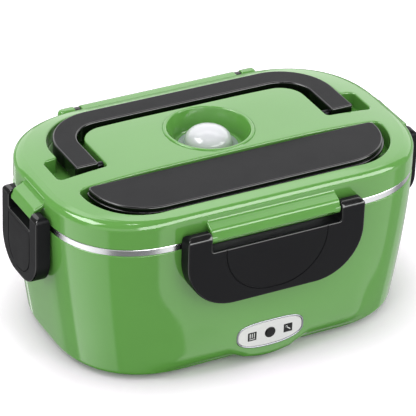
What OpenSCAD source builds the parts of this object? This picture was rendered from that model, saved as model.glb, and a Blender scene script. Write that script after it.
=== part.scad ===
// Electric lunch box: a heated body that holds a steel food container, a lid that hinges
// at the rear, three clip latches, a folding carry handle, a vent plug and a cutlery case.
// Millimetres, +X to the right along the front, +Y to the rear, +Z up.
// The origin is the centre of the base, on the surface that the box stands on.

/* [Body] */
// Length of the body at its top edge, along the front
body_l = 220.4; // [214:0.2:230]
// Depth of the body at its top edge, front to rear
body_w = 131.8; // [128:0.2:140]
// How much shorter the body is at its foot than at its top edge
body_taper_l = 16.2; // [8:0.2:22]
// How much narrower the body is at its foot than at its top edge
body_taper_w = 5.2; // [3:0.2:12]
// Height of the body shell
body_h = 80.5; // [78:0.5:90]
// Radius of the squircle corners in plan
corner_r = 54.4; // [46:0.2:58]
// Power of the squircle corners, where 2 is a circle
corner_power = 2.3; // [2:0.05:2.8]
// Radius of the edge around the foot of the body
foot_edge_r = 3; // [2:0.5:4]
// Wall of the body shell
body_wall = 2.4; // [2:0.1:3]

/* [Base] */
// Height of the rubber feet below the body shell
foot_h = 2.4; // [1.6:0.2:4]
// Radius of a rubber foot
foot_r = 6.5; // [5:0.5:9]
// Distance between the feet along the front
foot_pitch_x = 128; // [100:2:136]
// Distance between the feet from front to rear
foot_pitch_y = 66; // [50:2:74]
// Thickness of the base plate
base_t = 2.4; // [2:0.2:3]
// Radius of a screw shank
screw_r = 1.4; // [1:0.1:1.6]

/* [Container] */
// Height of the steel rim that shows between body and lid
rim_h = 3.85; // [3:0.05:6]
// How far the steel rim stands back from the body's side
rim_inset = 0.5; // [0.2:0.1:1]
// Width of the rim's flat flange
rim_flange = 8; // [7:0.5:10]
// Thickness of the steel sheet
steel_t = 0.8; // [0.5:0.1:1]
// Height of the container's floor over the surface that the box stands on
container_floor = 26; // [25:0.5:34]
// How much smaller the container is at its floor than at its rim
container_taper = 12; // [6:1:16]
// Radius of the edge around the container's floor
container_edge_r = 6; // [4:0.5:8]

/* [Heater] */
// Length of the heater plate
heater_l = 118; // [100:2:126]
// Width of the heater plate
heater_w = 62; // [50:2:70]
// Thickness of the heater plate
heater_t = 2.6; // [2:0.2:3]
// Length of a heating element
element_l = 35; // [28:1:40]
// Width of a heating element
element_w = 21; // [16:1:24]
// Thickness of a heating element
element_t = 4; // [3:0.5:5]

/* [Lid] */
// Gap between the steel rim and the lid
lid_gap = 0.2; // [0.1:0.1:0.4]
// Height of the lid's upright side
lid_side_h = 10.5; // [10:0.5:12]
// Height of the rounded shoulder over the upright side
shoulder_h = 5; // [4:0.5:6]
// Length of the top plate inside the shoulder
plate_l = 211; // [207:0.5:213]
// Depth of the top plate inside the shoulder
plate_w = 127.8; // [124:0.2:128.4]
// Rise of the top plate from its edge to its middle
crown_h = 4.5; // [3.5:0.1:5]
// Wall of the lid shell
lid_wall = 2.2; // [1.8:0.1:2.4]
// Thickness of the inner lid
liner_t = 1.8; // [1.4:0.1:2]
// Width of the silicone seal
seal_w = 4; // [3:0.5:5]

/* [Carry handle] */
// Distance over the outside of the handle's arms
handle_l = 172.4; // [170:0.2:174]
// Width of the handle's arms and grip
handle_w = 13.5; // [12:0.5:14]
// Thickness of the handle
handle_t = 9; // [8:0.5:10]
// Radius of the handle's outer corners
handle_corner_r = 31.5; // [26:0.5:33]
// Place of the grip's rear edge, behind the middle of the lid
grip_rear = 52.5; // [50:0.5:53]
// Gap between the arms and the inner side of their channel
arm_gap_in = 4.3; // [4:0.1:4.8]
// Gap between the arms and the outer side of their channel
arm_gap_out = 2.3; // [1.5:0.1:3]
// Radius of the handle's pins
handle_pin_r = 2; // [1.5:0.1:2.4]
// Place of the handle's pins, behind the middle of the lid
handle_pin_y = 1.8; // [1:0.2:3]
// Width of a finger pocket beside an arm
pocket_w = 8.7; // [7:0.1:9]
// Length of a finger pocket, front to rear
pocket_l = 21.4; // [18:0.2:26]

/* [Cutlery case] */
// Length of the cutlery case
case_l = 176.6; // [170:0.2:178]
// Depth of the cutlery case, front to rear
case_w = 35; // [33:0.5:36]
// Height of the cutlery case with its cover
case_h = 12.1; // [11:0.1:12.4]
// Place of the case's straight rear edge, ahead of the middle of the lid
case_rear = 20.2; // [20:0.1:21]
// Radius of the case's front corners
case_corner_r = 31; // [24:0.5:31.5]
// Height of the cover over the tray's rim
cover_h = 2.5; // [2:0.1:3]
// Wall of the tray
tray_wall = 1.4; // [1.2:0.1:1.6]
// Finger gap at each end of the case
case_gap_end = 4.7; // [4:0.1:5]
// Gap ahead of the case
case_gap_front = 2.6; // [1.5:0.1:3]

/* [Vent] */
// Radius of the vent well at its rim
well_r = 23.3; // [22:0.1:24]
// Radius of the vent well at its floor
well_floor_r = 20; // [18.5:0.1:21]
// Place of the vent well, behind the middle of the lid
well_y = 8; // [7:0.5:9]
// Depth of the vent well
well_depth = 11.9; // [11:0.1:12]
// Radius of the vent plug's dome
dome_r = 13.2; // [11:0.2:14]
// Height of the dome's curved part
dome_h = 8; // [6:0.5:9]
// Radius of the vent plug's flange
plug_flange_r = 17.3; // [16:0.1:18]
// Radius of the vent plug's stem
stem_r = 4.2; // [3:0.1:5]

/* [Latches] */
// Half of the front latch's width
front_latch_half = 54; // [48:0.5:56]
// Half of a side latch's width
side_latch_half = 22.3; // [20:0.1:25]
// Width of an ear of the front latch
front_ear_w = 14.4; // [12:0.2:16]
// Width of an ear of a side latch
side_ear_w = 8.6; // [7.6:0.2:9.4]
// Radius of the front latch's lower corners
front_latch_r = 29; // [22:0.5:30]
// Radius of a side latch's lower corners
side_latch_r = 18; // [14:0.5:20]
// Radius of an ear around its pivot
ear_r = 4.1; // [3.8:0.1:4.3]
// Height of the pivots above the lid's lower edge
pivot_rise = 2; // [1.8:0.1:3]
// Length of a latch from its pivot down to its lower edge
latch_drop = 42; // [36:0.5:44]
// Height of the window above a latch's panel, below the pivot
window_drop = 7; // [6.6:0.1:8]
// Thickness of a latch's face
latch_skin = 2.6; // [2:0.1:3]
// Radius of the pivot studs on the lid's lips
stud_r = 2.2; // [1.8:0.1:2.4]

/* [Hinge] */
// Half of the length of the lid's hinge flange
knuckle_half = 48.2; // [40:0.2:49]
// Radius of the hinge knuckle
knuckle_r = 3.8; // [3.5:0.1:4]
// Width of a black bush beside the knuckle
bush_w = 4.6; // [3:0.1:5]
// Width of a hinge lug on the body
lug_w = 9.6; // [7:0.1:10]
// Radius of the hinge pins
hinge_pin_r = 1.5; // [1.2:0.1:1.8]
// Height of the hinge axis over the lid's lower edge
hinge_rise = 10.2; // [10:0.1:11]

/* [Front panel] */
// Half of the panel's length
panel_half = 20.9; // [18:0.1:22]
// Half of the panel's height
panel_rise = 8.5; // [7:0.1:9]
// Height of the panel's centre over the surface that the box stands on
panel_z = 18.9; // [18.5:0.1:20]
// How far the front boss stands out of the body's foot
boss_out = 7.9; // [7:0.1:9]
// Width of the chrome rim around the panel
bezel_w = 1; // [0.8:0.1:1.4]
// Radius of the lamp's lens
lens_r = 3.3; // [2.6:0.1:3.6]
// Side of a square symbol field
icon_side = 5.4; // [4:0.1:6]
// Distance of a symbol field from the middle of the panel
icon_x = 11.2; // [10:0.1:12]

/* [Power inlet] */
// Half of the distance between the round ends of the socket
socket_half = 3.3; // [3:0.1:3.6]
// Radius of the round ends of the socket
socket_r = 4.4; // [4:0.1:4.8]
// Depth of the socket
socket_depth = 12; // [10:0.5:13]
// Height of the socket over the surface that the box stands on
socket_z = 14.5; // [14:0.5:15.5]
// Radius of a contact pin
contact_r = 1.2; // [1:0.1:1.3]

/* [Fits] */
// Gap of a pin that turns in its bore
running_fit = 0.05; // [0.02:0.01:0.08]
// Gap around a part that is set in another
seat_fit = 0.1; // [0.05:0.05:0.2]
// Gap between two bodies that move past each other
free_fit = 0.3; // [0.25:0.05:0.4]

/* [Hidden] */
$fn = 64;
eps = 0.01;
corner_steps = 12;
green = "#82b86a";
black = "#2b2b2b";
steel = "#c8ccd0";
copper = "#b87333";

// Screws, and the posts and ribs that hold them
screw_head_r = screw_r * 2;
thread_r = screw_r - 0.2;
base_screw_l = 12;
lid_screw_l = 8;
head_sink = 1;
post_r = 4;
post_h = 13;
rib_t = 1.8;
rib_l = 40;
lid_post_r = 3.4;

// Heights, from the surface that the box stands on
body_top = foot_h + body_h;
rim_top = body_top + lid_gap / 4 + rim_h;
lid_z = rim_top + lid_gap;
shoulder_z = lid_z + lid_side_h;
plate_z = shoulder_z + shoulder_h;
crown_z = plate_z + crown_h;
pivot_z = lid_z + pivot_rise;
hinge_z = lid_z + hinge_rise;

// Inner lid and seal
liner_z = lid_z + 1.4;
seal_inset = 3.6;

// Places of the recesses in the lid
recess_wall = 2;
case_z = plate_z - 9;
case_floor = case_z - seat_fit * 2;
case_rear_r = 3.4;
handle_top = crown_z + 0.7;
handle_z = handle_top - handle_t;
handle_floor = handle_z - 4;
channel_out = handle_l / 2 + arm_gap_out;
channel_in = handle_l / 2 - handle_w - arm_gap_in;
channel_front = -4.9;
channel_rear = grip_rear + 4.5;
island_rear = grip_rear - handle_w - 3.1;
well_floor = crown_z - well_depth;

// Hinge and latch pivots
hinge_y = body_w / 2 + knuckle_r + free_fit;
pin_inner = knuckle_half - 14;
pin_outer = knuckle_half + free_fit + bush_w + seat_fit + lug_w;
latch_face = ear_r + 0.4;
latch_y = body_w / 2 + ear_r + free_fit;
latch_x = body_l / 2 + ear_r + free_fit;

// Front boss and panel
boss_y = body_w / 2 - body_taper_w / 2 + boss_out;
panel_depth = 2.2;

// Electrics inside the base
board_z = foot_h + base_t + 4;
board_l = 64;
board_w = 40;
board_t = 1.6;
board_y = 8;
board_inset = 5;
board_post_r = 3;
board_hole_r = 1.2;
liner_gap = 0.8;
liner_wall = 1.8;
liner_floor = container_floor - heater_t - 0.4;
heater_z = container_floor - seat_fit - heater_t;
heater_margin = 5;
element_x = heater_l / 2 - element_w / 2 - heater_margin;
between_x = element_x / 2;
sensor_y = element_l / 2 + 2.5;
boss_r = 3.2;
boss_h = 8;
clamp_t = 1.2;
clamp_w = 12;
clamp_pad = 8;
thermostat_r = 8;
thermostat_h = 4;
fuse_r = 2.2;
fuse_l = 12;
fuse_lead_r = 0.5;
fuse_lead_l = 24;
lead_r = 0.9;
lamp_lead_r = 0.6;
lamp_r = 2.2;
lamp_y = 5;
lamp_l = 6.4;
lamp_collar = 1.4;

// Power inlet
socket_flange = 1.8;
socket_y = side_at(socket_z, body_w, body_taper_w) + 0.3 + socket_flange;
flange_out = 2.5;
inlet_wall = 1.6;
inlet_l = 2 * (socket_half + socket_r + inlet_wall);
inlet_h = 2 * (socket_r + inlet_wall);
contact_x = 4.3;
contact_tail = 7;
contact_l = 16.5;

// Places of the screws
screw_post_x = 80;
screw_post_y = 30;
lid_post_x = 50;
lid_posts = [[-1, -11], [1, -11], [-1, 24], [1, 24]];

// How far the pieces of the panel stand out of the front boss
bezel_out = 0.4;
face_out = 0.1;
icon_out = 0.15;
icon_t = 0.45;
lens_out = 0.6;
lens_l = 7.6;

// Vent seat
seat_r = 9;
seat_t = 1.4;
stem_l = recess_wall + 5;

// Handle pins and the bosses that hold them in the lid
pin_hold = 7;
pin_boss = 2.2;

// Lips of the lid between a latch's ears
front_lip_half = front_latch_half - front_ear_w - free_fit;
side_lip_half = side_latch_half - side_ear_w - free_fit;
stud_l = 6;
stud_boss_w = 3.4;

// Walls and catches of the latches
latch_wall = 2.2;
latch_back = ear_r - 0.2;
catch_z = pivot_z - latch_drop + 30;
catch_h = 3;
catch_depth = 1.25;
bead_h = 2.2;

// Rim of the cutlery tray, and the skirt of its cover
tray_rim_out = 0.9;
tray_rim_h = 1.5;
tray_inset = 0.4;
skirt_h = 2;
skirt_t = 1;

// Cutlery
cutlery_z = case_z + tray_wall + 0.05;
cutlery_t = 1.2;
case_mid = -case_rear - case_w / 2;
bowl_r = 11;
bowl_depth = 4;
spoon_margin = 9;
collar_l = 6;
collar_w = 18;
grip_l = 86;
grip_w = 8.5;
fork_margin = 18;
fork_l = 34;
fork_w = 20;
tine_l = 22;
tine_pitch = 5.4;
tine_gap = 2.4;

// Distance from the middle plane to the body's sloping side at a height
function side_at(z, top, taper) = (top - taper * (body_top - z) / body_h) / 2;

// Plan outline with squircle corners
function plan(l, w, r) = [
    for (q = [0:3], i = [0:corner_steps])
        let (a = 90 * i / corner_steps)
        let (c = r * pow(cos(a), 2 / corner_power), s = r * pow(sin(a), 2 / corner_power))
        let (sx = (q == 0 || q == 3) ? 1 : -1, sy = q < 2 ? 1 : -1, turned = q % 2 == 1)
        [sx * (l / 2 - r + (turned ? s : c)), sy * (w / 2 - r + (turned ? c : s))]
];

// Points of an arc
function arc(x, y, r, a0, a1, n = 12) = [
    for (i = [0:n]) let (a = a0 + (a1 - a0) * i / n) [x + r * cos(a), y + r * sin(a)]
];

// Rectangle with its own radius at the front and the rear corners, which its depth limits
function tray_plan(half, front, rear, r_front, r_rear) =
    let (a = min(r_front, half - 0.1), b = min(r_rear, half - 0.1), depth = rear - front - 0.2)
    let (rf = a < b ? a : min(a, depth - b), rr = a < b ? min(b, depth - a) : b)
    concat(
        arc(half - rr, rear - rr, rr, 0, 90),
        arc(-half + rr, rear - rr, rr, 90, 180),
        arc(-half + rf, front + rf, rf, 180, 270),
        arc(half - rf, front + rf, rf, 270, 360));

// Outline of the front panel, flatter above than below
function bean(half, up, down) = [
    for (t = [0:6:354])
        let (s = sin(t), k = s > 0 ? 2 / 3.4 : 2 / 2.3)
        [half * sign(cos(t)) * pow(abs(cos(t)), k), (s > 0 ? up : down) * sign(s) * pow(abs(s), k)]
];

// Ring of points: a plan outline at a height, inset from the size given
function ring(l, w, r, inset, z) = [
    for (p = plan(l - 2 * inset, w - 2 * inset, r - inset)) [p[0], p[1], z]
];

// Ring of the tapered body's side
function body_ring(z, inset) =
    let (k = (body_top - z) / body_h)
    ring(body_l - k * body_taper_l, body_w - k * body_taper_w, corner_r, inset, z);

// Ring of the container's side
function tub_ring(z, inset) =
    let (k = (rim_top - z) / (rim_top - container_floor))
    ring(body_l, body_w, corner_r, rim_inset + rim_flange + k * container_taper / 2 + inset, z);

// Rings of the container's side that round into a floor at a height
function rounded_floor(z, inset, r, step = 30) =
    [for (a = [0:step:90]) tub_ring(z + r * (1 - cos(a)), inset + r * (1 - sin(a)))];

// Closed solid through a list of rings with equal numbers of points
module loft(rings) {
    n = len(rings[0]);
    last = len(rings) - 1;
    polyhedron(
        points = [for (r = rings) each r],
        faces = concat(
            [[for (i = [0:n - 1]) i]],
            [[for (i = [n - 1:-1:0]) last * n + i]],
            [for (k = [0:last - 1], i = [0:n - 1])
                let (j = (i + 1) % n)
                each [[k * n + i, (k + 1) * n + i, (k + 1) * n + j], [k * n + i, (k + 1) * n + j, k * n + j]]
            ]));
}

// Plan outline raised to a height
module prism(l, w, r, inset, z, h) {
    translate([0, 0, z]) linear_extrude(h) polygon(plan(l - 2 * inset, w - 2 * inset, r - inset));
}

// Plan profile standing on the XZ plane, from y0 to y1
module facing(y0, y1) {
    translate([0, y1, 0]) rotate([90, 0, 0]) linear_extrude(y1 - y0) children();
}

// Profile in the YZ plane, carried along X from x0 to x1
module along_x(x0, x1) {
    translate([x0, 0, 0]) rotate([90, 0, 90]) linear_extrude(x1 - x0) children();
}

// Round bar along X
module bar_x(r, x0, x1) {
    translate([x0, 0, 0]) rotate([0, 90, 0]) cylinder(r = r, h = x1 - x0);
}

// Round bar along Y
module bar_y(r, y0, y1) {
    translate([0, y0, 0]) rotate([-90, 0, 0]) cylinder(r = r, h = y1 - y0);
}

// Cross recess in the underside of a screw's head
module cross_recess() {
    for (a = [0, 90]) rotate([0, 0, a])
        translate([-screw_r, -screw_r / 4, -eps]) cube([screw_r * 2, screw_r / 2, screw_r / 2]);
}

// Flat-head screw that points up, with a full shank as far as it passes what it holds
module screw_up(shank, length) {
    difference() {
        union() {
            cylinder(r = screw_head_r, h = screw_r);
            cylinder(r = screw_r, h = shank);
            cylinder(r = thread_r - eps, h = length);
        }
        cross_recess();
    }
}

// Four copies at plus and minus x and y
module four(x, y) {
    for (sx = [-1, 1], sy = [-1, 1]) translate([sx * x, sy * y, 0]) children();
}

function unit(v) = v / norm(v);

// A direction square to each step of a path, carried along without a twist
function carried(u, dirs, i = 0) = i == len(dirs) ? []
    : let (v = unit(u - (u * dirs[i]) * dirs[i])) concat([v], carried(v, dirs, i + 1));

// Insulated wire through a list of points, with a start direction square to its first step
module wire(points, r, start = [1, 0, 0]) {
    last = len(points) - 1;
    dirs = [for (i = [0:last]) unit(
        (i < last ? unit(points[i + 1] - points[i]) : [0, 0, 0])
        + (i > 0 ? unit(points[i] - points[i - 1]) : [0, 0, 0]))];
    sides = carried(start, dirs);
    loft([for (i = [0:last]) let (u = sides[i], v = cross(dirs[i], u))
        [for (a = [0:45:315]) points[i] + r * (cos(a) * u + sin(a) * v)]]);
}

// Body

// Front boss: rings of [depth, growth sideways, growth upwards, growth downwards]
module boss_solid(shrink) {
    steps = [[11, 8, 8.5, 6.8], [5, 6.6, 6.5, 6.3], [1.2, 4.6, 4.5, 5.2], [0, 2.6, 2.4, 3]];
    loft([for (p = steps) [
        for (q = bean(panel_half + p[1] - shrink, panel_rise + p[2] - shrink, panel_rise + p[3] - shrink))
            [q[0], p[0] - boss_y + shrink, panel_z + q[1]]
    ]]);
}

module body_outer() {
    loft(concat(
        [for (a = [0:22.5:90]) body_ring(foot_h + foot_edge_r * (1 - cos(a)), foot_edge_r * (1 - sin(a)))],
        [body_ring(body_top, 0)]));
}

module body_cavity() {
    loft([
        body_ring(foot_h - 1, foot_edge_r + body_wall),
        body_ring(foot_h + base_t, foot_edge_r + body_wall),
        body_ring(foot_h + foot_edge_r + body_wall, body_wall),
        body_ring(body_top + 1, body_wall)
    ]);
}

module hinge_lug() {
    along_x(0, lug_w) difference() {
        union() {
            translate([hinge_y, hinge_z]) circle(r = knuckle_r);
            polygon([
                [hinge_y - knuckle_r, hinge_z],
                [hinge_y - knuckle_r, body_top - 1],
                [body_w / 2 - 1.6, body_top - 4],
                [body_w / 2 - 1.8, body_top - 20],
                [hinge_y + knuckle_r, body_top - 8],
                [hinge_y + knuckle_r, hinge_z]
            ]);
        }
        translate([hinge_y, hinge_z]) circle(r = hinge_pin_r + running_fit);
    }
}

// Slot across a side of the body, whose inner face lies at y
module catch_groove(half, y) {
    translate([-half, y - 4, catch_z]) cube([half * 2, 4, catch_h]);
}

module body_shell() {
    lug_x = knuckle_half + free_fit + bush_w + seat_fit + lug_w / 2;
    color(green) difference() {
        union() {
            difference() {
                union() {
                    body_outer();
                    boss_solid(0);
                }
                difference() {
                    body_cavity();
                    screw_posts();
                }
                boss_solid(2.4 + panel_depth);
            }
            for (s = [-1, 1]) translate([s * lug_x - lug_w / 2, 0, 0]) hinge_lug();
        }
        four(screw_post_x, screw_post_y)
            translate([0, 0, foot_h]) cylinder(r = thread_r, h = base_screw_l + 2);
        translate([0, -boss_y, panel_z])
            facing(-1, panel_depth) polygon(bean(panel_half, panel_rise, panel_rise));
        translate([0, -boss_y, panel_z]) bar_y(lens_r + seat_fit, 0, 12);
        catch_groove(catch_half(front_latch_half), catch_depth - side_at(catch_z, body_w, body_taper_w));
        for (s = [-1, 1]) rotate([0, 0, s * 90])
            catch_groove(catch_half(side_latch_half), catch_depth - side_at(catch_z, body_l, body_taper_l));
        translate([0, socket_y - 20, socket_z]) facing(0, 30)
            square([inlet_l + 2 * seat_fit, inlet_h + 2 * seat_fit], center = true);
    }
}

// Posts that the base screws hold, tied to the side by a rib
module screw_posts() {
    translate([0, 0, foot_h + base_t]) {
        four(screw_post_x, screw_post_y) cylinder(r = post_r, h = post_h);
        for (s = [-1, 1], e = [-1, 1])
            translate([s * screw_post_x, e * (screw_post_y + post_r - 1 + rib_l / 2), post_h / 2])
                cube([rib_t, rib_l, post_h], center = true);
    }
}

module base_plate() {
    color(green) difference() {
        union() {
            prism(body_l - body_taper_l, body_w - body_taper_w, corner_r,
                foot_edge_r + body_wall + seat_fit, foot_h, base_t);
            four(board_l / 2 - board_inset, board_w / 2 - board_inset) translate([0, board_y, foot_h])
                cylinder(r = board_post_r, h = board_z - foot_h);
        }
        four(foot_pitch_x / 2, foot_pitch_y / 2)
            translate([0, 0, foot_h - eps]) cylinder(r = foot_r + seat_fit, h = 1);
        four(screw_post_x, screw_post_y) {
            translate([0, 0, foot_h - eps]) cylinder(r = screw_head_r + seat_fit, h = screw_r + eps);
            translate([0, 0, foot_h]) cylinder(r = screw_r + seat_fit, h = base_t + 1);
        }
    }
}

module rubber_feet() {
    color("#222222") four(foot_pitch_x / 2, foot_pitch_y / 2) cylinder(r = foot_r, h = foot_h + 1 - eps);
}

module base_screws() {
    color(steel) four(screw_post_x, screw_post_y) translate([0, 0, foot_h]) screw_up(base_t, base_screw_l);
}

// Container

module steel_container() {
    color(steel) difference() {
        union() {
            loft(concat(rounded_floor(container_floor, 0, container_edge_r),
                [tub_ring(rim_top - steel_t / 2, 0)]));
            prism(body_l, body_w, corner_r, rim_inset, rim_top - steel_t, steel_t);
            rim_band();
        }
        loft(concat(rounded_floor(container_floor + steel_t, steel_t, container_edge_r),
            [tub_ring(rim_top + 1, steel_t)]));
    }
}

module rim_band() {
    difference() {
        prism(body_l, body_w, corner_r, rim_inset, body_top + lid_gap / 4, rim_h - eps);
        prism(body_l, body_w, corner_r, rim_inset + steel_t, body_top - 1, rim_h - steel_t + 1 + eps);
    }
}

module inner_liner() {
    out = -liner_gap - liner_wall;
    edge = 4;
    color("#4a4a4a") difference() {
        union() {
            loft([
                tub_ring(liner_floor - liner_wall, out + 2),
                tub_ring(liner_floor + edge, out),
                tub_ring(body_top + 1, out)
            ]);
            prism(body_l, body_w, corner_r, rim_inset + steel_t + seat_fit, body_top + lid_gap / 4,
                rim_h - steel_t - seat_fit);
            liner_skirt();
        }
        loft(concat(rounded_floor(liner_floor, -liner_gap, edge, 45), [tub_ring(rim_top + 1, -liner_gap)]));
        translate([-heater_l / 2 - seat_fit, -heater_w / 2 - seat_fit, liner_floor - liner_wall - 1])
            cube([heater_l + 2 * seat_fit, heater_w + 2 * seat_fit, liner_wall + 2]);
    }
}

// Edge that hangs from the liner's flange inside the body's wall
module liner_skirt() {
    difference() {
        prism(body_l - body_taper_l * 0.1, body_w - body_taper_w * 0.1, corner_r,
            body_wall + free_fit / 2, body_top - 6, 7 + eps);
        prism(body_l, body_w, corner_r, body_wall + liner_wall, body_top - 7, 9);
    }
}

// Heater and electrics

module heater_plate() {
    color("#b9bcc0") difference() {
        union() {
            translate([-heater_l / 2, -heater_w / 2, heater_z]) cube([heater_l, heater_w, heater_t]);
            for (s = [-1, 1]) translate([s * between_x, 0, heater_z - boss_h])
                cylinder(r = boss_r, h = boss_h + eps);
        }
        for (s = [-1, 1]) translate([s * between_x, 0, heater_z - boss_h - 1])
            cylinder(r = thread_r, h = boss_h);
    }
}

module heating_elements() {
    color("#d8d8d2")
        for (s = [-1, 0, 1])
            translate([s * element_x - element_w / 2, -element_l / 2, heater_z - element_t])
                cube([element_w, element_l, element_t]);
}

// Bar under the bosses, with a pad that presses each element up
module heater_clamp() {
    z = heater_z - boss_h;
    color(steel) difference() {
        union() {
            translate([-element_x - clamp_pad, -clamp_w / 2, z - clamp_t])
                cube([2 * (element_x + clamp_pad), clamp_w, clamp_t]);
            for (s = [-1, 0, 1]) translate([s * element_x - clamp_pad / 2, -clamp_w / 2, z - eps])
                cube([clamp_pad, clamp_w, boss_h - element_t + eps]);
        }
        for (s = [-1, 1]) translate([s * between_x, 0, z - clamp_t - 1])
            cylinder(r = screw_r + seat_fit, h = clamp_t + 2);
    }
}

module clamp_screws() {
    color(steel) for (s = [-1, 1])
        translate([s * between_x, 0, heater_z - boss_h - clamp_t - screw_r])
            screw_up(clamp_t + screw_r, boss_h);
}

module thermostat() {
    color("#3a3a3a") translate([between_x, sensor_y, heater_z]) mirror([0, 0, 1]) {
        cylinder(r = thermostat_r, h = thermostat_h);
        translate([0, 0, thermostat_h - eps]) cylinder(r = thermostat_r - 2, h = thermostat_h);
        for (s = [-1, 1]) translate([s * thermostat_r / 2 - 1.6, -0.4, 2 * thermostat_h - 2 * eps])
            cube([3.2, 0.8, 4]);
    }
}

module thermal_fuse() {
    color("#d8d8d2") translate([-between_x, sensor_y, heater_z - fuse_r]) {
        bar_x(fuse_r, -fuse_l / 2, fuse_l / 2);
        bar_x(fuse_lead_r, -fuse_lead_l / 2, fuse_lead_l / 2);
    }
}

module power_board() {
    color("#1f6b45") difference() {
        translate([-board_l / 2, board_y - board_w / 2, board_z]) cube([board_l, board_w, board_t]);
        four(board_l / 2 - board_inset, board_w / 2 - board_inset)
            translate([0, board_y, board_z - 1]) cylinder(r = board_hole_r, h = board_t + 2);
    }
}

// Relay, terminal block and driver, each as place and size, and a round capacitor
module board_parts() {
    blocks = [[[-20, -3], [14, 9, 3]], [[14, -3], [8, 14, 3]], [[-8, 8], [7, 5, 2]]];
    color("#303030") translate([0, board_y, board_z + board_t]) {
        for (b = blocks) translate(b[0]) cube(b[1]);
        translate([4, 6, 0]) cylinder(r = 4, h = 3.2);
    }
}

// Leads from the inlet to the board, from the board to the heater and from the board to the lamp
module heater_leads() {
    top = board_z + board_t + lead_r;
    rear = board_y + board_w / 2;
    front = board_y - board_w / 2;
    pin_end = socket_y - socket_depth - contact_tail;
    lamp = -boss_y + lamp_y + lamp_l;
    color(copper) for (s = [-1, 1]) {
        wire([[s * contact_x, pin_end, socket_z], [s * contact_x, pin_end - 4, socket_z],
            [s * 6, pin_end - 8, socket_z - 4], [s * 8, rear + 3, top + 3], [s * 8, rear, top],
            [s * 8, rear - 4, top]], lead_r);
        wire([[s * 28, board_y + 8, top], [s * 32, board_y + 4, top], [s * 36, 10, top],
            [s * 42, 10, top + 1.5], [s * element_x, 10, heater_z - element_t - 3],
            [s * element_x, 10, heater_z - element_t]], lead_r, [0, 0, 1]);
        wire([[s * 1.3, front + 4, top], [s * 1.3, front, top], [s * 1.3, front - 6, top + 2],
            [s * 1.3, lamp + 6, panel_z - 2], [s * 1.3, lamp + 3, panel_z], [s * 1.3, lamp, panel_z]],
            lamp_lead_r);
    }
}

module indicator_led() {
    color("#e8e4c8") translate([0, -boss_y, panel_z]) {
        bar_y(lamp_r, lamp_y, lamp_y + lamp_l - lamp_collar);
        bar_y(lamp_r + 0.5, lamp_y + lamp_l - lamp_collar - eps, lamp_y + lamp_l);
    }
}

module socket_hole() {
    translate([0, socket_y - socket_depth, socket_z]) {
        for (s = [-1, 1]) translate([s * socket_half, 0, 0]) bar_y(socket_r, 0, socket_depth + 1);
        facing(0, socket_depth + 1) square([2 * socket_half, 2 * socket_r], center = true);
    }
}

module power_inlet() {
    color(black) difference() {
        union() {
            translate([0, socket_y - socket_depth - 2, socket_z]) facing(0, socket_depth + 2)
                square([inlet_l, inlet_h], center = true);
            translate([0, socket_y - socket_flange, socket_z]) facing(0, socket_flange)
                square([inlet_l + 2 * flange_out, inlet_h + 2 * flange_out], center = true);
        }
        socket_hole();
        for (s = [-1, 1]) translate([s * contact_x, socket_y - socket_depth, socket_z])
            bar_y(contact_r + eps, -3, 1);
    }
}

module inlet_pins() {
    color(steel) for (s = [-1, 1])
        translate([s * contact_x, socket_y - socket_depth - contact_tail, socket_z])
            bar_y(contact_r, 0, contact_l);
}

// Front panel

module panel_bezel() {
    color("#e6e6e6") translate([0, -boss_y, panel_z]) difference() {
        facing(-bezel_out, panel_depth)
            polygon(bean(panel_half - seat_fit / 2, panel_rise - seat_fit / 2, panel_rise - seat_fit / 2));
        facing(-1, panel_depth + 1)
            polygon(bean(panel_half - bezel_w, panel_rise - bezel_w, panel_rise - bezel_w));
    }
}

module panel_face() {
    side = panel_half - bezel_w - seat_fit / 2;
    rise = panel_rise - bezel_w - seat_fit / 2;
    color("#ececea") translate([0, -boss_y, panel_z]) difference() {
        facing(-face_out, panel_depth) polygon(bean(side, rise, rise));
        bar_y(lens_r + seat_fit / 2, -1, panel_depth + 1);
        for (s = [-1, 1]) translate([s * icon_x, 0, 0]) facing(-1, icon_t - icon_out)
            square(icon_side + seat_fit, center = true);
    }
}

module panel_icons() {
    color(black) for (s = [-1, 1]) translate([s * icon_x, -boss_y, panel_z])
        facing(-icon_out, icon_t - icon_out) square(icon_side, center = true);
}

module indicator_lens() {
    color("#151515") translate([0, -boss_y, panel_z]) difference() {
        bar_y(lens_r, -lens_out, lens_l - lens_out);
        bar_y(lamp_r + seat_fit, lamp_y - eps, lens_l + 1);
    }
}

// Hinge

module hinge_pins() {
    color(steel) for (s = [-1, 1]) translate([0, hinge_y, hinge_z])
        mirror([s < 0 ? 1 : 0, 0, 0]) bar_x(hinge_pin_r, pin_inner, pin_outer - 0.4);
}

module hinge_bushes() {
    color(black) for (s = [-1, 1]) mirror([s < 0 ? 1 : 0, 0, 0])
        translate([0, hinge_y, hinge_z]) difference() {
            bar_x(knuckle_r, knuckle_half + free_fit, knuckle_half + free_fit + bush_w);
            bar_x(hinge_pin_r + running_fit, knuckle_half, knuckle_half + bush_w + 1);
        }
}

// Lid

module lid_outer() {
    inset_l = (body_l - plate_l) / 2;
    inset_w = (body_w - plate_w) / 2;
    loft(concat(
        [ring(body_l, body_w, corner_r, 0, lid_z)],
        [for (a = [0:17:68])
            let (k = (1 - cos(a)) / (1 - cos(68)))
            ring(body_l - 2 * k * inset_l, body_w - 2 * k * inset_w, corner_r, 0,
                shoulder_z + shoulder_h * sin(a) / sin(68))],
        [for (s = [0.96, 0.91, 0.84, 0.74, 0.6, 0.42])
            ring(plate_l * s, plate_w * s, corner_r * s, 0, plate_z + crown_h * (1 - pow(s, 4)))]));
}

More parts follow.
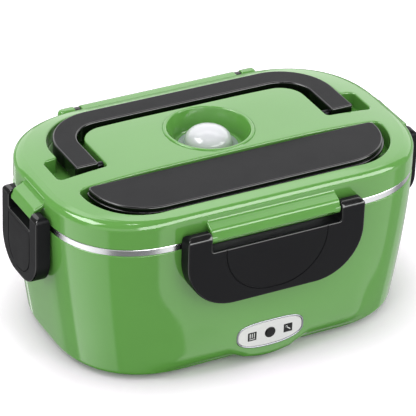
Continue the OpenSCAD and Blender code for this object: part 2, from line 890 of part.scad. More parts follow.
module lid_cavity() {
    w = lid_wall;
    loft(concat(
        [ring(body_l, body_w, corner_r, w, lid_z - 1), ring(body_l, body_w, corner_r, w, shoulder_z - 0.5)],
        [for (s = [1, 0.91, 0.74, 0.42])
            ring(plate_l * s, plate_w * s, corner_r * s, w, plate_z + crown_h * (1 - pow(s, 4)) - w)]));
}

module channel_plan(grow) {
    g = grow;
    difference() {
        union() {
            polygon(tray_plan(channel_out + g, channel_front - g, channel_rear + g, 2 + g,
                handle_corner_r + arm_gap_out + g));
            for (s = [-1, 1]) mirror([s < 0 ? 1 : 0, 0])
                translate([channel_out - 6, 0])
                    polygon(concat(
                        [[0, channel_front - g], [6 + pocket_w + g - 3, channel_front - g]],
                        arc(6 + pocket_w + g - 3, channel_front - g + 3, 3, 270, 360, 6),
                        arc(6 + pocket_w + g - 3, channel_front + pocket_l + g - 3, 3, 0, 90, 6),
                        [[0, channel_front + pocket_l + g]]));
        }
        polygon(tray_plan(channel_in - g, channel_front - 20, island_rear - g, 1, 14));
    }
}

module case_plan(grow) {
    polygon(tray_plan(case_l / 2 + case_gap_end + grow, -case_rear - case_w - case_gap_front - grow,
        -case_rear + 0.8 + grow, case_corner_r + case_gap_front + grow, case_rear_r + 0.4 + grow));
}

// Walls and floors of the recesses in the lid
module recess_tubs() {
    w = recess_wall;
    translate([0, 0, case_floor - w]) linear_extrude(20) case_plan(w);
    translate([0, 0, handle_floor - w]) linear_extrude(20) channel_plan(w);
    translate([0, well_y, well_floor - w]) cylinder(r = well_r + w, h = 20);
    for (s = [-1, 1]) translate([0, handle_pin_y, handle_z + handle_t / 2])
        mirror([s < 0 ? 1 : 0, 0, 0])
            bar_x(handle_pin_r + pin_boss, channel_in - pin_hold - 2, channel_in - eps);
    for (p = lid_posts) translate([p[0] * lid_post_x, p[1], liner_z + liner_t])
        cylinder(r = lid_post_r, h = 20);
}

module recess_holes() {
    translate([0, 0, case_floor]) linear_extrude(30) case_plan(0);
    translate([0, 0, handle_floor]) linear_extrude(30) channel_plan(0);
    translate([0, well_y, well_floor])
        cylinder(r1 = well_floor_r, r2 = well_r, h = well_depth);
    translate([0, well_y, crown_z - eps]) cylinder(r = well_r, h = 5);
}

// Raised lip around the well
module well_rim() {
    translate([0, well_y, crown_z - 0.7]) rotate_extrude()
        translate([well_r + 1.3, 0]) circle(r = 1.4, $fn = 24);
}

// Lip of the lid that carries a latch, in the latch's own frame:
// the pivot is at the origin, outwards is -Y
module lip(half) {
    wall_y = ear_r + free_fit + 1;
    nose = -latch_face + 1;
    along_x(-half, half) polygon([
        [wall_y, 8.2], [nose + 1.2, 4.9], [nose + 0.3, 4.5], [nose, 3.8], [nose, -0.9],
        [nose + 2.2, -0.9], [nose + 2.4, 2.4], [wall_y, 5.4]]);
    for (s = [-1, 1]) mirror([s < 0 ? 1 : 0, 0, 0]) {
        along_x(half - stud_boss_w, half) union() {
            circle(r = stud_r + 0.9);
            translate([-stud_r - 0.4, 0]) square([stud_r + 0.4, 4]);
        }
        bar_x(stud_r, half - eps, half + stud_l);
    }
}

// Puts a latch or its lip at the front (0), the left (-1) or the right (1)
module at_latch(place) {
    if (place == 0) translate([0, -latch_y, pivot_z]) children();
    else translate([place * latch_x, 0, pivot_z]) rotate([0, 0, place * 90]) children();
}

module hinge_flange() {
    along_x(-knuckle_half, knuckle_half) union() {
        translate([hinge_y, hinge_z]) circle(r = knuckle_r);
        polygon([
            [body_w / 2 - 2.1, hinge_z - knuckle_r + 1.6], [hinge_y, hinge_z - knuckle_r],
            [hinge_y, hinge_z + knuckle_r], [body_w / 2 - 2.1, hinge_z + knuckle_r - 0.4]]);
    }
}

module lid_shell() {
    color(green) difference() {
        union() {
            difference() {
                lid_outer();
                difference() {
                    lid_cavity();
                    recess_tubs();
                }
            }
            well_rim();
            hinge_flange();
            at_latch(0) lip(front_lip_half);
            for (s = [-1, 1]) at_latch(s) lip(side_lip_half);
        }
        recess_holes();
        translate([0, hinge_y, hinge_z])
            for (s = [-1, 1]) mirror([s < 0 ? 1 : 0, 0, 0])
                bar_x(hinge_pin_r + running_fit, pin_inner - 1, knuckle_half + 1);
        translate([0, handle_pin_y, handle_z + handle_t / 2])
            for (s = [-1, 1]) mirror([s < 0 ? 1 : 0, 0, 0])
                bar_x(handle_pin_r + eps, channel_in - pin_hold, channel_in + 1);
        translate([0, well_y, well_floor - recess_wall - 1]) cylinder(r = stem_r + 0.3, h = 5);
        translate([0, well_y, well_floor - seat_t]) cylinder(r = seat_r, h = 2);
        for (p = lid_posts) translate([p[0] * lid_post_x, p[1], liner_z])
            cylinder(r = thread_r, h = liner_t + lid_screw_l);
    }
}

module lid_liner() {
    color("#6f9c5c") difference() {
        union() {
            prism(body_l, body_w, corner_r, lid_wall + seat_fit, liner_z, liner_t);
            seal_wall(seal_inset - 1.2, 1.1);
            seal_wall(seal_inset + seal_w + seat_fit, 1.2);
        }
        translate([0, well_y, liner_z - 1]) cylinder(r = stem_r + 0.6, h = liner_t + 2);
        for (p = lid_posts) translate([p[0] * lid_post_x, p[1], 0]) {
            translate([0, 0, liner_z - 1]) cylinder(r = screw_r + seat_fit, h = liner_t + 2);
            translate([0, 0, liner_z - 1]) cylinder(r = screw_head_r + seat_fit, h = 1 + head_sink);
        }
    }
}

// Thin wall on the inner lid beside the seal
module seal_wall(inset, wall) {
    difference() {
        prism(body_l, body_w, corner_r, inset, lid_z + 0.1, liner_z - lid_z - 0.1 + eps);
        prism(body_l, body_w, corner_r, inset + wall, lid_z - 1, liner_z - lid_z + 1);
    }
}

module seal_gasket() {
    color("#d9dcdc") difference() {
        prism(body_l, body_w, corner_r, seal_inset, rim_top + 0.05, liner_z - rim_top - 0.05);
        prism(body_l, body_w, corner_r, seal_inset + seal_w, rim_top - 1, 5);
    }
}

module lid_screws() {
    color(steel) for (p = lid_posts) translate([p[0] * lid_post_x, p[1], liner_z + head_sink - screw_r])
        screw_up(liner_t + screw_r - head_sink, lid_screw_l);
}

module handle_pins() {
    color(steel) translate([0, handle_pin_y, handle_z + handle_t / 2])
        for (s = [-1, 1]) mirror([s < 0 ? 1 : 0, 0, 0])
            bar_x(handle_pin_r, channel_in - pin_hold, channel_in + arm_gap_in + pin_hold + 1);
}

module carry_handle() {
    outer = handle_l / 2;
    front = handle_pin_y - handle_t / 2 + 0.1;
    color(black) difference() {
        translate([0, 0, handle_z]) linear_extrude(handle_t) difference() {
            polygon(tray_plan(outer, front, grip_rear, 0.6, handle_corner_r));
            polygon(tray_plan(outer - handle_w, front - 5, grip_rear - handle_w, 0.6,
                handle_corner_r - handle_w));
        }
        translate([0, handle_pin_y, handle_z + handle_t / 2])
            for (s = [-1, 1]) mirror([s < 0 ? 1 : 0, 0, 0])
                bar_x(handle_pin_r + running_fit, channel_in, channel_in + arm_gap_in + pin_hold + 1.5);
    }
}

// Vent

module vent_seat() {
    color("#cfd2d2") translate([0, well_y, well_floor - seat_t]) difference() {
        cylinder(r = seat_r - eps, h = seat_t);
        translate([0, 0, -1]) cylinder(r = stem_r + 0.3, h = 4);
    }
}

module vent_plug() {
    z0 = well_floor + 0.1;
    straight = crown_z + 0.6 - dome_h - z0;
    color("#f2f4f4") translate([0, well_y, z0]) rotate_extrude() polygon(concat(
        [[0, -stem_l], [stem_r, -stem_l], [stem_r, 0],
            [plug_flange_r - 0.4, 0], [plug_flange_r, 0.8], [plug_flange_r - 0.6, 1.6],
            [dome_r + 1, 2.2]],
        [for (a = [0:7.5:90]) [dome_r * cos(a), straight + dome_h * sin(a)]]));
}

// Cutlery case

module case_outline(grow) {
    polygon(tray_plan(case_l / 2 + grow, -case_rear - case_w - grow, -case_rear + min(grow, 0),
        case_corner_r + grow, case_rear_r + min(grow, 0)));
}

module cutlery_tray() {
    tray_h = case_h - cover_h;
    color(black) difference() {
        union() {
            translate([0, 0, case_z]) linear_extrude(tray_h) case_outline(-tray_inset);
            translate([0, 0, case_z + tray_h - tray_rim_h])
                linear_extrude(tray_rim_h) case_outline(tray_rim_out);
        }
        translate([0, 0, case_z + tray_wall]) linear_extrude(tray_h) case_outline(-tray_inset - tray_wall);
    }
}

module cutlery_cover() {
    z = case_z + case_h - cover_h;
    skirt = -tray_inset - tray_wall - free_fit;
    color(black) {
        translate([0, 0, z]) linear_extrude(cover_h) case_outline(0);
        translate([0, 0, z - skirt_h]) linear_extrude(skirt_h + eps) difference() {
            case_outline(skirt);
            case_outline(skirt - skirt_t);
        }
    }
}

module spoon() {
    ball_r = (bowl_r * bowl_r + bowl_depth * bowl_depth) / (2 * bowl_depth);
    bowl_x = -case_l / 2 + tray_wall + bowl_r + spoon_margin;
    rise = cutlery_z + bowl_depth - cutlery_t;
    color(steel) {
        translate([bowl_x, case_mid, cutlery_z]) intersection() {
            difference() {
                translate([0, 0, ball_r]) sphere(r = ball_r);
                translate([0, 0, ball_r + 1]) sphere(r = ball_r);
            }
            cylinder(r = bowl_r, h = bowl_depth);
        }
        translate([bowl_x + bowl_r - 1.5, case_mid - collar_w / 2, rise])
            cube([collar_l, collar_w, cutlery_t]);
        translate([bowl_x + bowl_r + collar_l / 2, case_mid - 3 - grip_w, rise])
            cube([grip_l, grip_w, cutlery_t]);
    }
}

module fork() {
    x1 = case_l / 2 - tray_wall - fork_margin;
    color(steel) translate([0, case_mid, cutlery_z + bowl_depth - cutlery_t]) difference() {
        union() {
            translate([x1 - fork_l, -fork_w / 2, 0]) cube([fork_l, fork_w, cutlery_t]);
            translate([x1 - fork_l - grip_l, 1.5, 0]) cube([grip_l + eps, grip_w, cutlery_t]);
        }
        for (k = [-1, 0, 1]) translate([x1 - tine_l, k * tine_pitch - tine_gap / 2, -1])
            cube([tine_l + 2, tine_gap, cutlery_t + 2]);
    }
}

// Latches

// Face of a latch: straight sides and large lower corners
function latch_plan(half, top, bottom, r) = concat(
    [[half, top], [-half, top]],
    arc(-half + r, bottom + r, r, 180, 270, 16),
    arc(half - r, bottom + r, r, 270, 360, 16));

module latch(half, ear_w, r) {
    wall = latch_wall;
    back = latch_back;
    difference() {
        union() {
            difference() {
                facing(-latch_face, back)
                    polygon(latch_plan(half, -window_drop, -latch_drop, r));
                facing(-latch_face + latch_skin, back + 1)
                    polygon(latch_plan(half - wall, -window_drop - wall, -latch_drop + wall, r - wall));
            }
            for (s = [-1, 1]) mirror([s < 0 ? 1 : 0, 0, 0]) along_x(half - ear_w, half) union() {
                circle(r = ear_r);
                polygon([[-latch_face, -window_drop - 1], [back, -window_drop - 1], [back, 0], [0, 0],
                    [-ear_r * cos(50), ear_r * sin(50)], [-latch_face, 1.3]]);
            }
            catch_bead(catch_half(half) - 2 * free_fit);
        }
        bar_x(stud_r + running_fit, -half + ear_w - stud_l - 0.6, half - ear_w + stud_l + 0.6);
        facing(-latch_face - 1, -latch_face + 0.5) groove_plan(half, ear_w, r);
    }
}

// Half of the length of the groove in the body that a latch snaps into
function catch_half(half) = half > 30 ? half - 20 : half - 10;

// Bead of a latch that snaps into that groove
module catch_bead(half) {
    translate([-half, -latch_face + latch_skin - 0.5, catch_z + (catch_h - bead_h) / 2 - pivot_z])
        cube([half * 2, latch_face - latch_skin + 0.5 + ear_r + free_fit - 0.25, bead_h]);
}

// Thin line around the thumb field on a latch's face
module groove_plan(half, ear_w, r) {
    g = half - ear_w - 8 > 12 ? half - ear_w - 8.6 : half - ear_w;
    top = -window_drop - 1.4;
    low = -latch_drop + 4.2;
    curve = min(g - 1, top - low - 1);
    difference() {
        polygon(latch_plan(g, top, low, curve));
        polygon(latch_plan(g - 0.7, top - 0.7, low + 0.7, curve - 0.7));
    }
}

module front_latch() {
    color(black) at_latch(0) latch(front_latch_half, front_ear_w, front_latch_r);
}

module left_latch() {
    color(black) at_latch(-1) latch(side_latch_half, side_ear_w, side_latch_r);
}

module right_latch() {
    color(black) at_latch(1) latch(side_latch_half, side_ear_w, side_latch_r);
}

body_shell();
base_plate();
rubber_feet();
base_screws();
inner_liner();
steel_container();
heater_plate();
heating_elements();
heater_clamp();
clamp_screws();
thermostat();
thermal_fuse();
power_board();
board_parts();
heater_leads();
indicator_led();
power_inlet();
inlet_pins();
panel_bezel();
panel_face();
panel_icons();
indicator_lens();
hinge_pins();
hinge_bushes();
lid_shell();
lid_liner();
seal_gasket();
lid_screws();
handle_pins();
vent_seat();
vent_plug();
cutlery_tray();
spoon();
fork();
cutlery_cover();
carry_handle();
front_latch();
left_latch();
right_latch();
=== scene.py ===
import math

import bmesh
import bpy
import numpy as np
from mathutils import Matrix, Vector, kdtree
from mathutils.geometry import delaunay_2d_cdt


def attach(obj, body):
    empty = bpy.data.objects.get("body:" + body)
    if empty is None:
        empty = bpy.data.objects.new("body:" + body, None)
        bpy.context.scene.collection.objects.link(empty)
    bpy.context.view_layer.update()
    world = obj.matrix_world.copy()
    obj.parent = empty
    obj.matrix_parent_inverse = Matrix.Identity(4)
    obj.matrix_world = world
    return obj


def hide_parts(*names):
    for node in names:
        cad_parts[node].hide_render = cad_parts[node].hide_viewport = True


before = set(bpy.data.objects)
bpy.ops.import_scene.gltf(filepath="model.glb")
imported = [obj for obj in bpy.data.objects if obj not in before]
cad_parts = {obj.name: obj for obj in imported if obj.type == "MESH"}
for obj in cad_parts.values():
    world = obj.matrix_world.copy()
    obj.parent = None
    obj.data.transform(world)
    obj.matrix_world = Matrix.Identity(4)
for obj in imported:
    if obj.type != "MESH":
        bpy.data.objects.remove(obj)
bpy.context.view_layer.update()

# Camera, first of all

cameraView = {
    "azimuth": 28.46, "elevation": 30.86, "roll": 2.02,
    "aim": (0, 0, 0.05), "across": -0.0023, "above": 0.0082, "distance": 1.63852,
    "lens": 251.76, "sensor": 36,
}


def addObject(name, data):
    thing = bpy.data.objects.new(name, data)
    bpy.context.scene.collection.objects.link(thing)
    return thing


def placeCamera(view):
    turn, lift, roll = (math.radians(view[key]) for key in ("azimuth", "elevation", "roll"))
    flat = math.cos(lift)
    back = Vector((-math.sin(turn) * flat, -math.cos(turn) * flat, math.sin(lift)))
    level = Vector((math.cos(turn), -math.sin(turn), 0))
    upright = back.cross(level)
    right = level * math.cos(roll) + upright * math.sin(roll)
    up = upright * math.cos(roll) - level * math.sin(roll)
    place = Vector(view["aim"]) + right * view["across"] + up * view["above"] + back * view["distance"]
    lens = bpy.data.cameras.new("productCamera")
    lens.lens = view["lens"]
    lens.sensor_fit = "HORIZONTAL"
    lens.sensor_width = view["sensor"]
    camera = addObject("productCamera", lens)
    camera.matrix_world = Matrix([(right[i], up[i], back[i], place[i]) for i in range(3)] + [(0, 0, 0, 1)])
    bpy.context.scene.camera = camera


placeCamera(cameraView)
bpy.context.scene.view_settings.view_transform = "Standard"
print("camera placed")

# Materials, with pattern sizes in millimetres

patternSet = {"patch": 40, "smear": 12, "from": 0.3, "to": 0.7, "patchDetail": 3.0, "grainDetail": 2.0}


def linearColour(text):
    values = [int(text[i:i + 2], 16) / 255 for i in (1, 3, 5)]
    return tuple(v / 12.92 if v <= 0.04045 else ((v + 0.055) / 1.055) ** 2.4 for v in values) + (1.0,)


def addNode(tree, kind, inputs=None, **settings):
    # an input takes a value, a socket, a node for its first output, or a list of nodes that all join it
    node = tree.nodes.new(kind)
    for key, value in settings.items():
        setattr(node, key, value)
    for key, given in (inputs or {}).items():
        for value in given if isinstance(given, list) else [given]:
            if isinstance(value, bpy.types.Node):
                value = value.outputs[0]
            if isinstance(value, bpy.types.NodeSocket):
                tree.links.new(value, node.inputs[key])
            else:
                node.inputs[key].default_value = value
    return node


def startMaterial(name):
    material = bpy.data.materials.new(name)
    material.use_nodes = True
    material.node_tree.nodes.clear()
    place = addNode(material.node_tree, "ShaderNodeTexCoord").outputs["Object"]
    return material, material.node_tree, place


def varied(tree, place, size, low, high):
    # a value that drifts between low and high over patches of the given size
    noise = addNode(tree, "ShaderNodeTexNoise", {
        "Vector": place, "Scale": 1000 / size, "Detail": patternSet["patchDetail"]})
    return addNode(tree, "ShaderNodeMapRange", {
        "Value": noise, "From Min": patternSet["from"], "From Max": patternSet["to"],
        "To Min": low, "To Max": high})


def tinted(tree, place, size, colour, other):
    mix = addNode(tree, "ShaderNodeMix", {
        0: varied(tree, place, size, 0.0, 1.0), 6: linearColour(colour), 7: linearColour(other)},
        data_type="RGBA")
    return mix.outputs[2]


def grained(tree, place, grains):
    # bumps laid over each other: the size and depth of each, and how it is stretched
    below = {}
    for size, depth, stretch in grains:
        squeezed = addNode(tree, "ShaderNodeMapping", {"Vector": place, "Scale": stretch})
        noise = addNode(tree, "ShaderNodeTexNoise", {
            "Vector": squeezed, "Scale": 1000 / size, "Detail": patternSet["grainDetail"]})
        bump = addNode(tree, "ShaderNodeBump", {"Height": noise, "Distance": depth / 1000, **below})
        below = {"Normal": bump}
    return bump


finishSockets = {
    "ior": "IOR", "metallic": "Metallic", "specular": "Specular IOR Level",
    "transmission": "Transmission Weight", "subsurface": "Subsurface Weight",
}


def makeFinish(name, finish):
    material, tree, place = startMaterial(name)
    patch = finish.get("patch", patternSet["patch"])
    inputs = {
        "Base Color": tinted(tree, place, patch, finish["colour"], finish["other"]),
        "Roughness": varied(tree, place, patternSet["smear"], *finish["roughness"]),
        "Normal": grained(tree, place, finish["grains"]),
    }
    inputs.update({socket: finish[key] for key, socket in finishSockets.items() if key in finish})
    shader = addNode(tree, "ShaderNodeBsdfPrincipled", inputs)
    addNode(tree, "ShaderNodeOutputMaterial", {"Surface": shader})
    return material


even = (1, 1, 1)
finishes = {
    # ABS moulded in a polished tool: high gloss, with a faint waviness in its reflections
    "polishedGreenAbs": {
        "colour": "#619d48", "other": "#5f9a46", "roughness": (0.08, 0.11), "ior": 1.52,
        "grains": [(9, 0.006, even), (0.9, 0.0004, even)]},
    # the same ABS from a tool left unpolished: a soft sheen
    "satinGreenAbs": {
        "colour": "#588f43", "other": "#558b41", "roughness": (0.3, 0.36), "ior": 1.54,
        "grains": [(6, 0.006, even), (0.5, 0.0015, even)]},
    # black ABS, spark-eroded: an even dark grey, its grain coarser than the real 0.1 mm so that it shows
    "sparkErodedBlackAbs": {
        "colour": "#18181a", "other": "#161618", "roughness": (0.36, 0.42), "specular": 0.065,
        "grains": [(0.45, 0.006, even)]},
    # black ABS, polished at the edges of the same mouldings: they catch thin bright lines
    "polishedBlackAbs": {
        "colour": "#0a0a0b", "other": "#080808", "roughness": (0.1, 0.14), "specular": 0.5,
        "grains": [(7, 0.004, even)]},
    # black nylon, moulded: a dull, slightly grainy black
    "mouldedBlackNylon": {
        "colour": "#161616", "other": "#111111", "roughness": (0.36, 0.44),
        "grains": [(0.5, 0.004, even)]},
    # 304 stainless steel, brushed: streaks level with the base, coarser than the real lines so that they show
    "brushedStainless": {
        "colour": "#c9cacb", "other": "#bfc0c2", "roughness": (0.2, 0.28), "metallic": 1.0, "patch": 14,
        "grains": [(1.4, 0.0014, (0.04, 0.04, 3.0))]},
    # zinc-plated steel, passivated: a dull bluish grey with faint clouds
    "zincPlatedSteel": {
        "colour": "#a9abac", "other": "#9a9da0", "roughness": (0.28, 0.4), "metallic": 1.0, "patch": 4,
        "grains": [(0.8, 0.004, even)]},
    # steel, chemically blackened: a near-black with a metal's soft highlight
    "blackenedSteel": {
        "colour": "#2a2a2c", "other": "#232325", "roughness": (0.3, 0.4), "metallic": 1.0, "patch": 3,
        "grains": [(0.8, 0.003, even)]},
    # chromed ABS: a dark mirror that draws a thin grey line
    "brightChrome": {
        "colour": "#8a8c90", "other": "#828488", "roughness": (0.05, 0.09), "metallic": 1.0,
        "grains": [(5, 0.002, even)]},
    # white polycarbonate, moulded glossy: clean light grey-white
    "glossyWhitePolycarbonate": {
        "colour": "#dededc", "other": "#dadad9", "roughness": (0.1, 0.15),
        "grains": [(6, 0.003, even)]},
    # screen-printed ink: dark grey with little shine
    "satinBlackInk": {
        "colour": "#242424", "other": "#1e1e1e", "roughness": (0.3, 0.4), "specular": 0.15,
        "grains": [(0.6, 0.003, even)]},
    # smoked acrylic, moulded: looks black while the lamp behind it is off
    "smokedLens": {
        "colour": "#141414", "other": "#101010", "roughness": (0.05, 0.09), "specular": 0.15,
        "grains": [(4, 0.002, even)]},
    # clear silicone, moulded: milky, with light inside it
    "milkySilicone": {
        "colour": "#bcc0c0", "other": "#b2b6b6", "roughness": (0.22, 0.3), "ior": 1.41, "subsurface": 0.15,
        "transmission": 0.25, "patch": 12, "grains": [(3, 0.006, even)]},
    # white silicone, moulded glossy: cool white with a clear highlight
    "glossyWhiteSilicone": {
        "colour": "#d3d4d8", "other": "#cfd0d5", "roughness": (0.12, 0.18), "ior": 1.45,
        "patch": 10, "grains": [(4, 0.003, even)]},
    # nitrile rubber, moulded: matt black
    "mattRubber": {
        "colour": "#1c1c1c", "other": "#262626", "roughness": (0.7, 0.85), "patch": 5,
        "grains": [(0.7, 0.012, even)]},
    # aluminium, die-cast: a rough light grey skin
    "castAluminium": {
        "colour": "#b4b6b8", "other": "#a5a8ab", "roughness": (0.38, 0.5), "metallic": 1.0, "patch": 8,
        "grains": [(1.0, 0.012, even)]},
    # steatite ceramic, fired: chalky cream
    "firedCeramic": {
        "colour": "#dcd9cc", "other": "#cfcabb", "roughness": (0.6, 0.75), "patch": 6,
        "grains": [(0.6, 0.01, even)]},
    # glass-filled epoxy under solder mask: a smooth deep green
    "solderMask": {
        "colour": "#1f6b45", "other": "#1a5f3d", "roughness": (0.25, 0.35), "patch": 5,
        "grains": [(0.5, 0.004, even)]},
    # epoxy, moulded round components: matt dark grey
    "mouldedEpoxy": {
        "colour": "#303030", "other": "#292929", "roughness": (0.45, 0.6),
        "grains": [(0.4, 0.005, even)]},
    # PVC, extruded over the leads: a waxy brick red
    "reddishPvc": {
        "colour": "#b2562e", "other": "#a64f29", "roughness": (0.35, 0.45),
        "grains": [(1.0, 0.004, even)]},
    # brass, nickel-plated: pale warm metal
    "platedBrass": {
        "colour": "#cdbf8e", "other": "#c2b482", "roughness": (0.2, 0.3), "metallic": 1.0, "patch": 3,
        "grains": [(1.0, 0.003, even)]},
    # epoxy, cast clear round the lamp: yellowish glass
    "lampEpoxy": {
        "colour": "#efe6c6", "other": "#e6dcb8", "roughness": (0.1, 0.15), "transmission": 0.5,
        "grains": [(3, 0.002, even)]},
    # heat-resistant nylon, moulded: matt charcoal
    "darkNylon": {
        "colour": "#444444", "other": "#3c3c3c", "roughness": (0.5, 0.6),
        "grains": [(0.8, 0.01, even)]},
}
materials = {name: makeFinish(name, finish) for name, finish in finishes.items()}
blackFinishes = ("sparkErodedBlackAbs", "polishedBlackAbs")
print("materials made:", len(materials))

# Outlines, in millimetres; a path takes how far it is to grow and gives the points of an outline

signs = ((-1, -1), (1, -1), (1, 1), (-1, 1))


def arcPoints(x, y, r, first, last, steps):
    turns = [math.radians(first + (last - first) * i / steps) for i in range(steps + 1)]
    return [(x + r * math.cos(a), y + r * math.sin(a)) for a in turns]


def circlePoints(x, y, r, steps=48):
    return arcPoints(x, y, r, 0, 360 - 360 / steps, steps - 1)


def circlePath(x, y, r, steps=48):
    return lambda grow: circlePoints(x, y, r + grow, steps)


def quarterTurn(steps):
    # a quarter circle as shares of its radius: how far it has turned aside, and what is left of its rise
    turns = [math.pi / 2 * i / steps for i in range(steps + 1)]
    return [(1 - math.cos(a), 1 - math.sin(a)) for a in turns]


def mirrored(corners):
    return [(-x, y, r) for x, y, r in reversed(corners)]


def boxCorners(left, right, low, high, r):
    return [(left, low, r), (right, low, r), (right, high, r), (left, high, r)]


def roundedPath(corners, steps, spacing):
    # corners run anticlockwise as (x, y, radius); a radius of None keeps a single point on a straight edge
    return lambda grow: roundedPoints(corners, grow, steps, spacing)


def roundedPoints(corners, grow, steps, spacing):
    # every grow gives the same number of points, so that loops of different grow can be bridged
    pieces = []
    count = len(corners)
    for i, (x, y, r) in enumerate(corners):
        here = Vector((x, y))
        into = (here - Vector(corners[i - 1][:2])).normalized()
        out = (Vector(corners[(i + 1) % count][:2]) - here).normalized()
        inNormal = Vector((into.y, -into.x))
        outNormal = Vector((out.y, -out.x))
        corner = here + (inNormal + outNormal) / (1 + inNormal.dot(outNormal)) * grow
        if r is None:
            pieces.append([corner])
            continue
        half = math.acos(max(-1.0, min(1.0, into.dot(out)))) / 2
        side = 1 if into.x * out.y - into.y * out.x > 0 else -1
        radius = max(r + side * grow, 0.02)
        centre = corner - into * radius * math.tan(half) - inNormal * radius * side
        start = math.atan2(inNormal.y * side, inNormal.x * side)
        number = steps if r > 6 else max(4, steps // 2)  # small corners need fewer points
        turns = [start + side * 2 * half * k / number for k in range(number + 1)]
        pieces.append([centre + Vector((math.cos(a), math.sin(a))) * radius for a in turns])
    path = []
    for i, piece in enumerate(pieces):
        path += piece
        following = pieces[(i + 1) % count][0]
        span = Vector(corners[(i + 1) % count][:2]) - Vector(corners[i][:2])
        number = max(1, round(span.length / spacing))
        path += [piece[-1].lerp(following, k / number) for k in range(1, number)]
    return [(p.x, p.y) for p in path]


squirclePower = 2.3


def squirclePoints(length, depth, radius, inset=0.0, steps=22, along=38, across=9):
    # the plan outline of body and lid: straight sides, and corners that are squircle quarters
    r = radius - inset
    power = 2 / squirclePower
    quarters = []
    for quarter in range(4):
        signX = 1 if quarter in (0, 3) else -1
        signY = 1 if quarter < 2 else -1
        points = []
        for i in range(steps + 1):
            angle = math.pi / 2 * i / steps
            c = r * max(math.cos(angle), 0) ** power
            s = r * max(math.sin(angle), 0) ** power
            if quarter % 2:
                c, s = s, c
            points.append((signX * (length / 2 - radius + c), signY * (depth / 2 - radius + s)))
        quarters.append(points)
    path = []
    for i, points in enumerate(quarters):
        path += points
        a = points[-1]
        b = quarters[(i + 1) % 4][0]
        number = across if i % 2 else along
        shares = [k / number for k in range(1, number)]
        path += [(a[0] + (b[0] - a[0]) * share, a[1] + (b[1] - a[1]) * share) for share in shares]
    return path


# Meshes: loops of points that are bridged, filled and merged


def newShape():
    return {"points": [], "faces": [], "marks": []}


def addLoop(shape, points):
    start = len(shape["points"])
    shape["points"] += [tuple(p) for p in points]
    return list(range(start, start + len(points)))


def addLevel(shape, points, z):
    return addLoop(shape, [(x, y, z) for x, y in points])


def addFace(shape, face, mark=0):
    # the mark is the place of the face's finish in its piece's list
    shape["faces"].append(tuple(face))
    shape["marks"].append(mark)


def bridgeLoops(shape, loops, mark=0):
    for a, b in zip(loops, loops[1:]):
        for i in range(len(a)):
            j = (i + 1) % len(a)
            addFace(shape, (a[i], a[j], b[j], b[i]), mark)


def insideOf(points, loops):
    # which points lie inside the first loop and outside the others, by counting crossings
    px, py = points.T[:, :, None]
    crossed = 0
    for loop in loops:
        ax, ay = np.array(loop).T
        bx, by = np.roll(ax, -1), np.roll(ay, -1)
        spans = (ay > py) != (by > py)
        with np.errstate(divide="ignore", invalid="ignore"):
            reach = ax + (py - ay) * (bx - ax) / (by - ay)
        crossed = crossed + ((px < reach) & spans).sum(1)
    return crossed % 2 == 1


def gridPoints(points, outer, spacing):
    # a triangular grid over an outline, without what lies close to the given points
    tree = kdtree.KDTree(len(points))
    for i, p in enumerate(points):
        tree.insert((p.x, p.y, 0), i)
    tree.balance()
    rowStep = spacing * 0.87
    low = np.array(outer).min(0)
    high = np.array(outer).max(0)
    columns = range(int((high[0] - low[0]) / spacing) + 1)
    rows = range(int((high[1] - low[1]) / rowStep) + 1)
    grid = [(low[0] + spacing * (i + 0.5 * (j % 2)), low[1] + rowStep * j) for j in rows for i in columns]
    return [p for p in grid if tree.find((p[0], p[1], 0))[2] > spacing * 0.6]


def fillRegion(shape, outer, holes, place, spacing=0.0, extra=(), lines=(), markOf=lambda u, v: 0):
    # triangles between an outer loop and its holes in the plane, each point then put in space by place(u, v);
    # extra points and open lines are kept as corners and edges
    points = []
    edges = []
    closed = [outer, *holes]
    for loop in [*closed, *lines]:
        start = len(points)
        points += [Vector(p) for p in loop]
        edges += [(i, i + 1) for i in range(start, len(points) - 1)]
        if len(edges) < sum(map(len, closed)):
            edges.append((len(points) - 1, start))
    added = list(extra)
    if spacing:
        added += gridPoints(points, outer, spacing)
    if added:
        points += [Vector(p) for p, kept in zip(added, insideOf(np.array(added), closed)) if kept]
    result = delaunay_2d_cdt(points, edges, [], 0, 0.0001)
    flat = np.array([tuple(p) for p in result[0]])
    triangles = [t for t in result[2] if len(t) == 3]
    middles = np.array([flat[list(t)].mean(0) for t in triangles])
    start = len(shape["points"])
    shape["points"] += [tuple(place(u, v)) for u, v in flat]
    for triangle, middle, kept in zip(triangles, middles, insideOf(middles, closed)):
        if kept:
            addFace(shape, [start + i for i in triangle], markOf(*middle))


def standing(u, v, w):
    return (u, v, w)


def alongX(u, v, w):
    return (w, u, v)


def alongY(u, v, w):
    return (u, w, v)


def roundedSlab(shape, path, low, high, edges, place=standing, steps=4, mark=0, caps=None):
    # an outline carried from low to high with a rounded edge at each end; place(u, v, w) puts a point in
    # space, and caps gives the marks of the two end faces, None where an end stays open
    turns = quarterTurn(steps)
    loops = [(-edges[0] * aside, low + edges[0] * left) for aside, left in reversed(turns)]
    loops += [(-edges[1] * aside, high - edges[1] * left) for aside, left in turns]
    rings = [addLoop(shape, [place(u, v, w) for u, v in path(grow)]) for grow, w in loops]
    bridgeLoops(shape, rings, mark)
    for ring, cap in zip((rings[0][::-1], rings[-1]), caps or (mark, mark)):
        if cap is not None:
            addFace(shape, ring, cap)
    return rings


def pairedSlabs(shape, path, near, far, edges, place):
    # the same slab on both sides of the middle, from near to far
    for side in (-1, 1):
        low, high = sorted((side * near, side * far))
        roundedSlab(shape, path, low, high, edges[::side], place)


